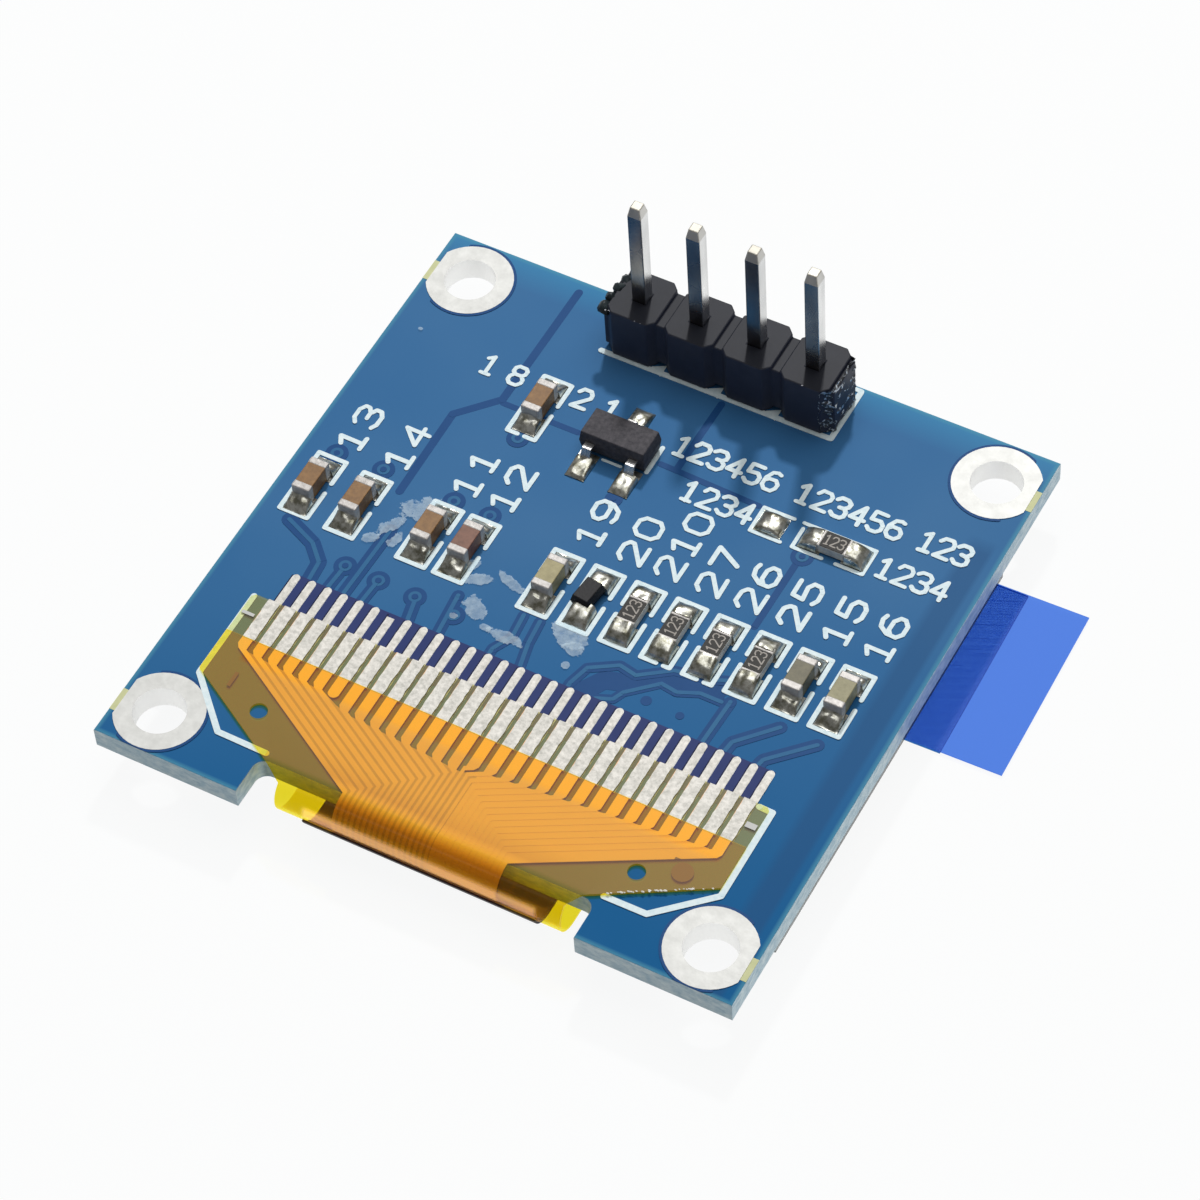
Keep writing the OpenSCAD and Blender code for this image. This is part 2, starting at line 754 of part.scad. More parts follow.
module polarizer() {
    color("#15161a") at_display() translate([0, cap_y + cap_l / 2, 0])
        plate(polarizer_w, polarizer_l, polarizer_t, guard_top);
}

module pixel_layer() {
    color("#101418") at_display() translate([0, picture_y, 0]) plate(active_w, active_l, 0.02, glass_top);
}

module drying_sheet() {
    color("gainsboro") at_display() translate([0, picture_y, 0])
        plate(active_w - 2, active_l - 2, 0.06, glass_top + hollow_t - 0.06);
}

module driver_chip() {
    color("#3a3a40") at_display() translate([0, driver_y, 0]) plate(driver[0], driver[1], driver[2], flex_low);
}

module bond_films() {
    color("#8a8060") at_display() {
        translate([0, driver_y, 0]) plate(driver[0], driver[1], bond_t, glass_top);
        translate([fold_x, glass_y + 0.1 + bond_l / 2, 0]) plate(fold_w, bond_l, bond_t, glass_top);
    }
}

module mounting_tape() {
    color("white") at_display() translate([0, cap_y + cap_l / 2, 0]) plate(tape_w, tape_l, tape_t, cap_top);
}

// The film's tongue and the pull tab lie past the display's side, turned a little by hand
tab_x = display_x + polarizer_w / 2 + 0.15;
module at_tab() {
    translate([tab_x, tab_y, 0]) rotate([0, 0, tab_turn]) children();
}

module protective_film() {
    color("#3f74d8") {
        at_display() translate([0, cap_y + cap_l / 2, 0]) plate(polarizer_w, polarizer_l, guard_t, 0);
        at_tab() block(-1, tongue_l, -tab_w / 2, tab_w / 2, 0, guard_t);
    }
}

module pull_tab() {
    color("#3f66e0") at_tab() block(0, tab_l, -tab_w / 2, tab_w / 2, guard_t, guard_t + tab_t);
}

circuit_board();
mounting_hole_plating();
header_hole_plating();
chip_lands();
finger_pads();
header_housing();
header_pin(1);  // header_pin_1
header_pin(2);  // header_pin_2
header_pin(3);  // header_pin_3
header_pin(4);  // header_pin_4
header_solder();
capacitor_body(1);  // capacitor_1_body
capacitor_ends(1);  // capacitor_1_ends
capacitor_body(2);  // capacitor_2_body
capacitor_ends(2);  // capacitor_2_ends
capacitor_body(3);  // capacitor_3_body
capacitor_ends(3);  // capacitor_3_ends
capacitor_body(4);  // capacitor_4_body
capacitor_ends(4);  // capacitor_4_ends
capacitor_body(5);  // capacitor_5_body
capacitor_ends(5);  // capacitor_5_ends
capacitor_body(6);  // capacitor_6_body
capacitor_ends(6);  // capacitor_6_ends
capacitor_body(7);  // capacitor_7_body
capacitor_ends(7);  // capacitor_7_ends
capacitor_body(8);  // capacitor_8_body
capacitor_ends(8);  // capacitor_8_ends
resistor_body(1);  // resistor_1_body
resistor_ends(1);  // resistor_1_ends
resistor_body(2);  // resistor_2_body
resistor_ends(2);  // resistor_2_ends
resistor_body(3);  // resistor_3_body
resistor_ends(3);  // resistor_3_ends
resistor_body(4);  // resistor_4_body
resistor_ends(4);  // resistor_4_ends
resistor_body(5);  // resistor_5_body
resistor_ends(5);  // resistor_5_ends
resistor_glazes();
diode_body();
diode_leads();
regulator_body();
regulator_leads();
chip_solder();
flex_film();
flex_traces();
flex_cover();
fold_tape();
display_glass();
cap_glass();
polarizer();
pixel_layer();
drying_sheet();
driver_chip();
bond_films();
mounting_tape();
protective_film();
pull_tab();
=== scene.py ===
import itertools
import math
import random

import bmesh
import bpy
from mathutils import Matrix, Vector, noise


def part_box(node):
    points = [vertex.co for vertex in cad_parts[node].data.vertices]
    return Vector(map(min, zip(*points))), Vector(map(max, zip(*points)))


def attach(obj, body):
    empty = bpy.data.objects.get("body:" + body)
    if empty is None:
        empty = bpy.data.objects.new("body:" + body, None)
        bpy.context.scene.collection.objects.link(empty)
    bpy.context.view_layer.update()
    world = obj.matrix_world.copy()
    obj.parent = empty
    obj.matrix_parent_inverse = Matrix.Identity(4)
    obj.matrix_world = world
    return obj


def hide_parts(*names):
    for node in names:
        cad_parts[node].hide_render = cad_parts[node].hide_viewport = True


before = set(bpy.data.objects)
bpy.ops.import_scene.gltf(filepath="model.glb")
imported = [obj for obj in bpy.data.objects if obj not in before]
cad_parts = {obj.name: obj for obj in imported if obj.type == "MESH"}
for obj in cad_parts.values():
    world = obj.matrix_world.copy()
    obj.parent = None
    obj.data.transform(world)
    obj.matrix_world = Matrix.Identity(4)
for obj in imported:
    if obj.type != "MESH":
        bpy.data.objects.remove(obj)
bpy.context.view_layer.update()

# ---------------------------------------------------------------- circuit board
# Glass-fibre board, 27.0 x 27.6 x 1.0 mm, with blue solder mask on both faces and bare cut
# edges. A copy of the solid gets its routed rim softened; the mask stops just short of it.


def screen(red, green, blue):
    """A colour as it looks on a screen, 0 to 255 a channel, as linear light."""
    return tuple(((c / 255 + 0.055) / 1.055) ** 2.4 if c > 10 else c / 3294.6 for c in (red, green, blue))


class Finish:
    """A surface finish: one Principled shader and the pattern nodes that feed it."""

    def __init__(self, name, colour, roughness, metallic=0.0, specular=0.5):
        self.material = bpy.data.materials.new(name)
        self.material.use_nodes = True
        self.tree = self.material.node_tree
        self.shader = self.tree.nodes["Principled BSDF"]
        self.output = self.tree.nodes["Material Output"]
        self.shader.inputs["Base Color"].default_value = (*colour, 1)
        self.shader.inputs["Roughness"].default_value = roughness
        self.shader.inputs["Metallic"].default_value = metallic
        self.shader.inputs["Specular IOR Level"].default_value = specular
        self.place = self.add("TexCoord").outputs["Object"]

    def add(self, kind, inputs=(), **settings):
        node = self.tree.nodes.new("ShaderNode" + kind)
        for key, value in settings.items():
            setattr(node, key, value)
        for key, value in dict(inputs).items():
            self.put(value, node.inputs[key])
        return node

    def put(self, value, socket):
        if isinstance(value, bpy.types.NodeSocket):
            self.tree.links.new(value, socket)
        else:
            socket.default_value = value

    def grain(self, size, detail=3.0, coarse=0.55, stretch=(1, 1, 1)):
        """Noise with features of the given size in millimetres."""
        at = self.add("Mapping", {"Vector": self.place, "Scale": stretch}).outputs[0]
        values = {"Vector": at, "Scale": 1000 / size, "Detail": detail, "Roughness": coarse}
        return self.add("TexNoise", values).outputs["Fac"]

    def level(self, value, low, high, to_low=0.0, to_high=1.0):
        """Stretches low..high to to_low..to_high, and clamps."""
        values = {"Value": value, "From Min": low, "From Max": high, "To Min": to_low, "To Max": to_high}
        return self.add("MapRange", values).outputs[0]

    def math(self, operation, a, b=0.0):
        return self.add("Math", {0: a, 1: b}, operation=operation).outputs[0]

    def mix(self, share, a, b):
        """Colour a, turning to b as share goes from 0 to 1."""
        node = self.add("Mix", data_type="RGBA")
        for value, socket in ((share, node.inputs[0]), (a, node.inputs[6]), (b, node.inputs[7])):
            if isinstance(value, (tuple, list)) and len(value) == 3:
                value = (*value, 1)
            self.put(value, socket)
        return node.outputs[2]

    def mottled(self, one, other, size, detail=3.0, coarse=0.55, span=(0.0, 1.0)):
        """One colour with patches of another, of the given size in millimetres."""
        return self.mix(self.level(self.grain(size, detail, coarse), *span), one, other)

    def where(self):
        """The X, Y and Z of a point of the surface, in metres."""
        return tuple(self.add("SeparateXYZ", {"Vector": self.place}).outputs)

    def facing(self, axis):
        """How far the surface looks along an axis, -1 to 1."""
        normal = self.add("NewGeometry").outputs["Normal"]
        return self.add("SeparateXYZ", {"Vector": normal}).outputs[axis]

    def paint(self, colour):
        self.put(colour, self.shader.inputs["Base Color"])

    def bump(self, height, depth, strength=1.0):
        """Relief from a height of 0 to 1, depth in millimetres."""
        values = {"Height": height, "Distance": depth / 1000, "Strength": strength}
        self.put(self.add("Bump", values).outputs[0], self.shader.inputs["Normal"])


def solid_copy(node):
    """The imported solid's mesh in millimetres, welded, with its flat faces whole."""
    bm = bmesh.new()
    bm.from_mesh(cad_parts[node].data)
    bmesh.ops.scale(bm, vec=(1000, 1000, 1000), verts=bm.verts)
    bmesh.ops.remove_doubles(bm, verts=bm.verts, dist=0.0005)
    bmesh.ops.dissolve_limit(bm, angle_limit=0.01, verts=bm.verts, edges=bm.edges)
    return bm


def soften(bm, edges, width, segments=2):
    """Rounds edges off by width millimetres."""
    shape = {"affect": "EDGES", "profile": 0.5, "material": -1, "clamp_overlap": True}
    bmesh.ops.bevel(bm, geom=list(edges), offset=width, segments=segments, **shape)


def sharp_edges(bm, angle=35):
    """Edges where two faces meet at more than angle degrees."""
    return [e for e in bm.edges if len(e.link_faces) == 2 and e.calc_face_angle(0) > math.radians(angle)]


def make_piece(name, bm, finish, slot, *nodes, crease=12, recalc=True):
    """Turns a bmesh in millimetres into a finished piece that rides on the module."""
    if recalc:
        bmesh.ops.recalc_face_normals(bm, faces=bm.faces)
    bmesh.ops.scale(bm, vec=(0.001, 0.001, 0.001), verts=bm.verts)
    mesh = bpy.data.meshes.new(name)
    bm.to_mesh(mesh)
    bm.free()
    mesh.shade_smooth()
    mesh.set_sharp_from_angle(angle=math.radians(crease))
    mesh.materials.append(finish.material)
    piece = bpy.data.objects.new(name, mesh)
    bpy.context.scene.collection.objects.link(piece)
    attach(piece, "root")
    if nodes:
        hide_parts(*nodes)
    return piece


def dress(node, finish):
    """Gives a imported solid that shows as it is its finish."""
    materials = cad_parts[node].data.materials
    materials.clear()
    materials.append(finish.material)


BOARD_W, BOARD_L = 27.0, 27.6
BOARD_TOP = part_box("circuit_board")[1].z * 1000
LAND_TOP = BOARD_TOP + 0.04
HOLE_X, HOLE_Y, PATTERN_Y = 11.7, 11.9, -0.07
HOLES = [(sx * HOLE_X, PATTERN_Y + sy * HOLE_Y) for sx in (-1, 1) for sy in (-1, 1)]
PIN_PITCH, HEADER_Y = 2.54, 12.2

mask = Finish("blue_solder_mask", screen(44, 100, 153), 0.5, specular=0.05)
x, y, _ = mask.where()
inset_x = mask.math("SUBTRACT", BOARD_W / 2000, mask.math("ABSOLUTE", x))
inset_y = mask.math("SUBTRACT", BOARD_L / 2000, mask.math("ABSOLUTE", y))
rim = mask.level(mask.math("MINIMUM", inset_x, inset_y), 0.00008, 0.00022, 1, 0)
# The tone drifts across the board, is paler along the header's edge and darker in a stripe
# along the right.
slope = mask.math("SUBTRACT", y, mask.math("MULTIPLY", x, 0.35))
ink = mask.mix(mask.level(slope, -0.014, 0.003), screen(4, 92, 146), screen(64, 114, 161))
ink = mask.mix(mask.level(mask.grain(7, 2), 0.35, 0.65, 0.0, 0.35), ink, screen(38, 100, 154))
ink = mask.mix(mask.level(y, 0.0123, 0.0138, 0.0, 0.6), ink, screen(66, 146, 190))
stripe = mask.math("MULTIPLY", mask.level(x, 0.0118, 0.0122), mask.level(x, 0.0129, 0.0131, 1, 0))
stripe = mask.math("MULTIPLY", stripe, mask.level(y, 0.0085, 0.0092, 0.45, 0))
ink = mask.mix(stripe, ink, screen(36, 76, 122))
ink = mask.mix(mask.math("MULTIPLY", rim, 0.6), ink, screen(80, 150, 175))
speckle = mask.level(mask.grain(0.4, 4, 0.65, (1, 1, 2)), 0.3, 0.7)
fibre = mask.mix(speckle, screen(158, 188, 204), screen(216, 230, 234))
on_face = mask.level(mask.math("ABSOLUTE", mask.facing("Z")), 0.7, 0.95)
mask.paint(mask.mix(on_face, fibre, ink))
# Cut edges facing right are made partly metallic, so they mirror the pale floor and look lighter.
mask.put(mask.level(mask.facing("X"), 0.5, 0.9, 0.0, 0.6), mask.shader.inputs["Metallic"])
mask.bump(mask.grain(1.4, 2), 0.004, 0.5)

board = solid_copy("circuit_board")


def on_outline(edge):
    """True on the board's outer rim, away from its drilled holes."""
    middle = (edge.verts[0].co + edge.verts[1].co) / 2
    drilled = HOLES + [(-0.1 + (i - 1.5) * PIN_PITCH, HEADER_Y) for i in range(4)]
    return all(math.hypot(middle.x - x, middle.y - y) > 1.2 for x, y in drilled)


level_edges = [e for e in sharp_edges(board, 60) if abs(e.verts[0].co.z - e.verts[1].co.z) < 0.01]
soften(board, [e for e in level_edges if on_outline(e)], 0.04)
make_piece("blue_board", board, mask, "board", "circuit_board")

# ---------------------------------------------------------------- tracks under the mask
# Etched copper shows through the mask as broad darker lines with a paler line along the
# middle, and as small rings where a plated hole is filled. They follow the mask's surface.


PLATE = 0.03
LIFTS = itertools.cycle([0.0013 * k for k in (0, 4, 8, 3, 7, 2, 6, 1, 5)])


def line(bm, points, width, level, rounds=12):
    """A line along points: a bar for each stretch, and a round at each corner and end."""
    disc(bm, points[0], width / 2, level, rounds)
    for start, end in zip(points, points[1:]):
        start, end = Vector(start), Vector(end)
        run = end - start
        middle = (start + end) / 2
        place = Matrix.Translation((middle.x, middle.y, level + next(LIFTS) - PLATE / 2))
        turn = Matrix.Rotation(math.atan2(run.y, run.x), 4, "Z")
        size = Matrix.Diagonal((run.length, width, PLATE, 1))
        bmesh.ops.create_cube(bm, size=1, matrix=place @ turn @ size)
        disc(bm, end, width / 2, level, rounds)


def disc(bm, centre, radius, level, rounds=24):
    """A round plate; no two neighbours share a level, so none of them flickers."""
    place = Matrix.Translation((centre[0], centre[1], level + next(LIFTS) - PLATE / 2))
    shape = {"segments": rounds, "radius1": radius, "radius2": radius, "depth": PLATE}
    bmesh.ops.create_cone(bm, cap_ends=True, cap_tris=True, matrix=place, **shape)


def slab(bm, centre, size):
    """A plain box."""
    place = Matrix.Translation(centre) @ Matrix.Diagonal((*size, 1))
    bmesh.ops.create_cube(bm, size=1, matrix=place)


gap_ink = Finish("mask_over_bare_board", screen(32, 70, 130), 0.5, specular=0.1)
gap_ink.paint(gap_ink.mottled(screen(22, 72, 126), screen(32, 80, 136), 1.2, 2))
track_ink = Finish("mask_over_copper", screen(50, 108, 150), 0.5, specular=0.1)
track_ink.paint(track_ink.mottled(screen(42, 98, 148), screen(54, 112, 152), 1.0, 2))

GAPS = [
    (0.34, [(-7.45, 13.2), (-7.5, 7.0), (-8.9, 5.5), (-8.85, 1.2)]),
    (0.26, [(-7.4, 6.85), (-4.0, 6.85)]),
    (0.26, [(-0.4, 6.9), (4.0, 6.75)]),
    (0.30, [(0.35, 10.6), (0.3, 7.0)]),
    (0.28, [(6.55, 5.2), (6.5, 1.5)]),
    (0.85, [(6.6, -1.8), (5.3, -2.0), (4.5, -2.1), (3.4, -2.95), (2.6, -3.2), (2.1, -4.0)]),
]
PAIRS = [
    (0.62, [(-12.0, -1.9), (-10.6, -2.5), (-9.9, -3.2), (-9.8, -4.35)]),
    (0.55, [(-8.2, -0.6), (-8.3, -4.35)]),
    (0.50, [(-8.9, -2.9), (-9.0, -4.35)]),
    (0.50, [(-7.4, -2.9), (-7.5, -4.35)]),
    (0.55, [(-5.7, -3.0), (-5.4, -4.35)]),
    (0.50, [(-4.3, -2.2), (-4.1, -4.35)]),
    (0.46, [(-1.6, -1.9), (-1.5, -3.0), (-1.9, -3.8), (-1.9, -4.35)]),
    (0.46, [(-0.9, -1.9), (-0.8, -3.0), (-0.5, -4.35)]),
    (0.46, [
        (7.2, -1.0), (6.2, -1.4), (4.75, -1.65), (3.55, -2.5),
        (2.8, -2.35), (1.75, -3.0), (1.5, -3.9), (1.5, -4.35),
    ]),
    (0.42, [
        (7.0, -2.15), (6.1, -2.15), (5.3, -2.5), (4.6, -2.4),
        (3.5, -3.4), (3.3, -3.85), (2.7, -4.1), (2.5, -4.35),
    ]),
    (0.50, [(7.3, -2.0), (7.2, -4.35)]),
    (0.55, [(9.5, -2.2), (8.2, -3.6), (8.1, -4.35)]),
    (0.55, [(11.1, -2.3), (9.6, -3.8), (9.5, -4.35)]),
]
RINGED = [
    (-8.9, -2.9), (-7.4, -2.95), (-5.75, -3.0), (-12.0, 1.75), (-9.95, 1.85),
    (-6.7, 1.7), (-5.1, 1.7), (-6.0, 5.55), (6.6, 5.3), (-4.0, -3.1),
]
LONE_RING = (-1.2, 4.55)
GAP_TOP, PAIR_TOP, RING_TOP = BOARD_TOP + 0.001, BOARD_TOP + 0.0105, BOARD_TOP + 0.0112
TRACK_TOP, DIMPLE_TOP = BOARD_TOP + 0.0215, BOARD_TOP + 0.0325

gaps = bmesh.new()
for width, points in GAPS:
    line(gaps, points, width, GAP_TOP)
for k, (width, points) in enumerate(PAIRS):
    line(gaps, points, width, PAIR_TOP + 0.0005 * (k % 3))
for centre in RINGED:
    disc(gaps, centre, 0.46, RING_TOP)
for centre, radius in (((4.45, -3.35), 0.22), ((5.9, -3.4), 0.17), (LONE_RING, 0.36)):
    disc(gaps, centre, radius, RING_TOP)
make_piece("mask_gaps", gaps, gap_ink, "board")

tracks = bmesh.new()
for width, points in PAIRS:
    line(tracks, points, 0.17, TRACK_TOP)
for centre in RINGED:
    disc(tracks, centre, 0.26, BOARD_TOP + 0.0222)
disc(tracks, LONE_RING, 0.22, TRACK_TOP)
make_piece("mask_tracks", tracks, track_ink, "board")

dimples = bmesh.new()
disc(dimples, LONE_RING, 0.1, DIMPLE_TOP)
for centre in RINGED:
    disc(dimples, centre, 0.13, DIMPLE_TOP)
make_piece("mask_dimples", dimples, gap_ink, "board")

# Between the finger pads the mask lies on bare board and looks darker, almost purple.
purple_ink = Finish("mask_between_pads", screen(48, 55, 105), 0.5, specular=0.1)
purple_ink.paint(purple_ink.mottled(screen(38, 52, 104), screen(50, 64, 118), 0.8, 2))
PAD_X, FINGERS, FINGER_PITCH = -0.07, 30, 0.705
FIRST_STEP = -(FINGERS - 1) / 2
band = bmesh.new()
slab(band, (PAD_X, -5.2, BOARD_TOP + 0.017), (20.7, 2.2, 0.034))
make_piece("pad_row_mask", band, purple_ink, "board")
# Dark lines along the left edge of each pad: painted shadow on the mask.
pad_shadow_paint = Finish("painted_pad_edge_shadow", screen(22, 26, 52), 0.6, specular=0.1)
pad_shadow_paint.paint(pad_shadow_paint.mottled(screen(18, 22, 46), screen(38, 44, 84), 0.5, 2))
pad_shadow_lines = bmesh.new()
for k in range(FINGERS):
    pad_shadow_x = PAD_X + (FIRST_STEP + k) * FINGER_PITCH - 0.18
    slab(pad_shadow_lines, (pad_shadow_x, -4.98, BOARD_TOP + 0.019), (0.075, 1.6, 0.036))
make_piece("painted_pad_edge_shadows", pad_shadow_lines, pad_shadow_paint, "board")

# ---------------------------------------------------------------- mounting holes
# Four plated holes of 2.1 mm with tinned rings, clipped flat towards the board's sides, where
# a strip of bare board shows. The tin is dull and faintly mottled.

tin = Finish("dull_tin", screen(214, 214, 211), 0.42, specular=0.08)
face = tin.mottled(screen(210, 210, 206), screen(226, 226, 222), 0.5, 4, 0.6, (0.35, 0.7))
tilt = tin.facing("Z")
# Faces that do not look up, such as the hole walls, are painted near white and made almost a mirror: painted
# light.
tin.paint(tin.mix(tin.level(tilt, 0.2, 0.5), screen(252, 252, 250), face))
tin.put(tin.level(tilt, 0.2, 0.5, 0.95, 0.08), tin.shader.inputs["Metallic"])
tin.bump(tin.grain(0.25, 3), 0.01, 0.6)
for node in ("mounting_hole_plating", "header_hole_plating", "finger_pads"):
    dress(node, tin)

bare_board = Finish("bare_board", screen(205, 205, 150), 0.6)
bare_board.paint(bare_board.mottled(screen(190, 195, 140), screen(215, 215, 165), 0.3, 3))
CLEARANCE_R, CLEARANCE_TURN, EDGE_LIMIT = 1.82, 118, 13.72
patches = bmesh.new()
clearances = bmesh.new()
for x, y in HOLES:
    side = math.copysign(1, x)
    slab(patches, (side * 13.37, y - 0.2, BOARD_TOP + 0.004), (0.24, 1.05, 0.012))
    # The clearance is an open ring, open towards the board's side.
    arc = []
    for a in range(-CLEARANCE_TURN, CLEARANCE_TURN + 1, 4):
        angle = math.radians(a)
        arc_y = y + CLEARANCE_R * math.sin(angle)
        arc.append((x - side * CLEARANCE_R * math.cos(angle), max(-EDGE_LIMIT, min(EDGE_LIMIT, arc_y))))
    line(clearances, arc, 0.14, TRACK_TOP, rounds=8)
make_piece("ring_clearances", clearances, gap_ink, "board")
make_piece("bare_strips", patches, bare_board, "board")

# ---------------------------------------------------------------- printed marks
# White ink: boxes round the chips, an outline round the flex and the header, and plain numbers
# where a board has its markings.

white_ink = Finish("white_print", screen(226, 242, 246), 0.6, specular=0.3)
white_ink.paint(white_ink.mottled(screen(214, 234, 240), screen(236, 248, 250), 0.18, 3, span=(0.3, 0.7)))
INK = BOARD_TOP + 0.034

DIGITS = {
    "0": [[(1, 0), (0, 1.2), (0, 4.8), (1, 6), (3, 6), (4, 4.8), (4, 1.2), (3, 0), (1, 0)]],
    "1": [[(0.7, 4.9), (2.2, 6), (2.2, 0)], [(0.9, 0), (3.5, 0)]],
    "2": [[(0, 4.8), (0.9, 6), (3.1, 6), (4, 5), (4, 3.9), (0, 0), (4, 0)]],
    "3": [
        [(0, 5.2), (1, 6), (3, 6), (4, 5.1), (4, 4), (3, 3.1), (1.6, 3.1)],
        [(3, 3.1), (4, 2.2), (4, 0.9), (3, 0), (1, 0), (0, 0.8)],
    ],
    "4": [[(3, 0), (3, 6), (0, 1.8), (4.1, 1.8)]],
    "5": [[(3.8, 6), (0.4, 6), (0.2, 3.4), (2.9, 3.6), (4, 2.6), (4, 1), (3, 0), (1, 0), (0, 0.8)]],
    "6": [[
        (3.6, 5.6), (2.6, 6), (1.1, 5.6), (0, 3.6), (0, 1.2), (1, 0),
        (3, 0), (4, 1.1), (4, 2.4), (3, 3.5), (1, 3.5), (0, 2.6),
    ]],
    "7": [[(0, 6), (4, 6), (1.5, 0)]],
    "8": [[
        (1, 3.2), (0.2, 4), (0.2, 5.2), (1, 6), (3, 6), (3.8, 5.2), (3.8, 4), (3, 3.2),
        (1, 3.2), (0, 2.2), (0, 1), (1, 0), (3, 0), (4, 1), (4, 2.2), (3, 3.2),
    ]],
    "9": [[
        (0.4, 0.4), (1.4, 0), (2.9, 0.4), (4, 2.4), (4, 4.8), (3, 6),
        (1, 6), (0, 4.9), (0, 3.6), (1, 2.5), (3, 2.5), (4, 3.4),
    ]],
}
chance = random.Random(7)


def number(bm, text, corner, height, pitch, stroke, level=None, turn=0.0, glyph_width=0.62):
    """Plain digits, drawn with one round-ended stroke, from the lower left corner."""
    spin = Matrix.Rotation(math.radians(turn), 2)
    for k, digit in enumerate(text):
        for path in DIGITS[digit]:
            points = []
            for x, y in path:
                flat_point = Vector((k * pitch + x / 4 * height * glyph_width, y / 6 * height))
                flat_point += Vector((chance.uniform(-1, 1), chance.uniform(-1, 1))) * height * 0.012
                points.append(Vector(corner) + spin @ flat_point)
            line(bm, points, stroke * chance.uniform(0.92, 1.06), level or INK)


BOX_HALF_W, BOX_HALF_L, BOX_STROKE = 0.62, 1.525, 0.19


def chip_box(bm, x, y, notch=None):
    """The printed box round a chip, open in its two long sides, and in its front at notch."""

    def at(*points):
        return [Vector((x, y)) + Vector(point) for point in points]

    low, high, w, l = -0.17, 0.36, BOX_HALF_W, BOX_HALF_L
    line(bm, at((-w, high), (-w, l), (w, l), (w, high)), BOX_STROKE, INK)
    if notch is None:
        line(bm, at((-w, low), (-w, -l), (w, -l), (w, low)), BOX_STROKE, INK)
    else:
        line(bm, at((-w, low), (-w, -l), (notch - 0.16, -l)), BOX_STROKE, INK)
        line(bm, at((notch + 0.16, -l), (w, -l), (w, low)), BOX_STROKE, INK)


ROW_Y = -0.13
ROW_XS = [-12.02, -9.94, -6.74, -5.10, -1.418, 0.36, 2.138, 3.916, 5.694, 7.472, 9.25, 11.028]
print_marks = bmesh.new()
for k, x in enumerate(ROW_XS):
    chip_box(print_marks, x, ROW_Y + (0.08 if k == 0 else 0), notch={7: 0.2, 8: 0.15}.get(k))
chip_box(print_marks, -5.965, 7.255, notch=0.0)
for stroke, points in (
    (0.16, [(5.52, 6.77), (4.22, 6.77), (4.22, 5.53), (5.52, 5.53)]),
    (0.16, [(5.95, 6.77), (9.04, 6.77), (9.04, 5.53), (7.9, 5.53)]),
    (0.16, [(7.3, 5.53), (6.03, 5.53), (6.03, 6.5)]),
    (0.2, [(-0.68, 7.62), (-0.68, 6.28)]),
    (0.12, [(-2.5, 6.07), (-1.7, 6.07)]),
):
    line(print_marks, points, stroke, INK)
# Round the header: the front line with a tooth at each moulding joint, and the right side.
line(print_marks, [(-5.2, 10.93), (4.98, 10.93), (5.0, 13.55)], 0.24, INK)
for x in (-2.64, -0.1, 2.44):
    place = Matrix.Translation((x, 11.06, INK + 0.012)) @ Matrix.Rotation(math.pi / 2, 4, "Z")
    bmesh.ops.create_circle(print_marks, cap_ends=True, segments=3, radius=0.36, matrix=place)
line(print_marks, [(4.4, 13.6), (5.0, 13.6)], 0.2, INK)
# Round the flex tail.
line(print_marks, [(-11.3, -5.72), (-11.3, -9.75), (-9.24, -11.8), (-7.1, -11.83)], 0.25, INK)
line(print_marks, [(10.45, -5.74), (11.0, -5.76), (11.0, -9.85), (8.95, -11.74), (7.2, -11.76)], 0.26, INK)

for text, x, y, pitch in (
    ("18", -9.1, 7.85, 1.28), ("21", -4.95, 7.95, 1.25), ("123456", -0.3, 7.58, 0.78),
    ("123456", 5.02, 7.58, 0.78), ("123", 10.28, 7.58, 0.75),
    ("1234", 1.0, 5.72, 0.8), ("1234", 9.4, 5.72, 0.78),
):
    number(print_marks, text, (x, y), 0.92, pitch, 0.18)
for text, x in (
    ("13", -11.8), ("14", -9.66), ("11", -6.6), ("12", -4.96), ("19", -1.15), ("20", 0.72),
    ("210", 2.33), ("27", 4.1), ("26", 5.8), ("25", 7.6), ("15", 9.45), ("16", 11.2),
):
    pitch = 1.32 if len(text) < 3 else 1.19
    number(print_marks, text, (x + 0.5, 2.1), 1.0, pitch, 0.19, turn=90, glyph_width=0.88)
make_piece("white_print", print_marks, white_ink, "white_sheet")

# ---------------------------------------------------------------- pin header
# Four moulded sections in one glossy black strip, snapped from a longer one, so its right end
# is torn and its left end burred. The pins are square and plated, with sheared, tapered tips.

black_moulding = Finish("black_moulding", screen(30, 31, 38), 0.5, specular=0.2)
# The sides are painted lighter and the top darker than the plastic itself: painted light and shade.
housing_sides_painted_lighter = black_moulding.mottled(screen(46, 50, 66), screen(56, 61, 78), 0.6)
housing_top_painted_darker = black_moulding.mottled(screen(26, 28, 37), screen(36, 39, 48), 0.6)
upward = black_moulding.level(black_moulding.facing("Z"), 0.3, 0.8)
black_moulding.paint(black_moulding.mix(upward, housing_sides_painted_lighter, housing_top_painted_darker))
black_moulding.bump(black_moulding.grain(0.12, 3), 0.006, 0.5)

housing = solid_copy("header_housing")
soften(housing, sharp_edges(housing), 0.05)
make_piece("header_strip", housing, black_moulding, "header_plastic", "header_housing")

torn = Finish("torn_moulding", screen(24, 26, 32), 0.3, specular=0.7)
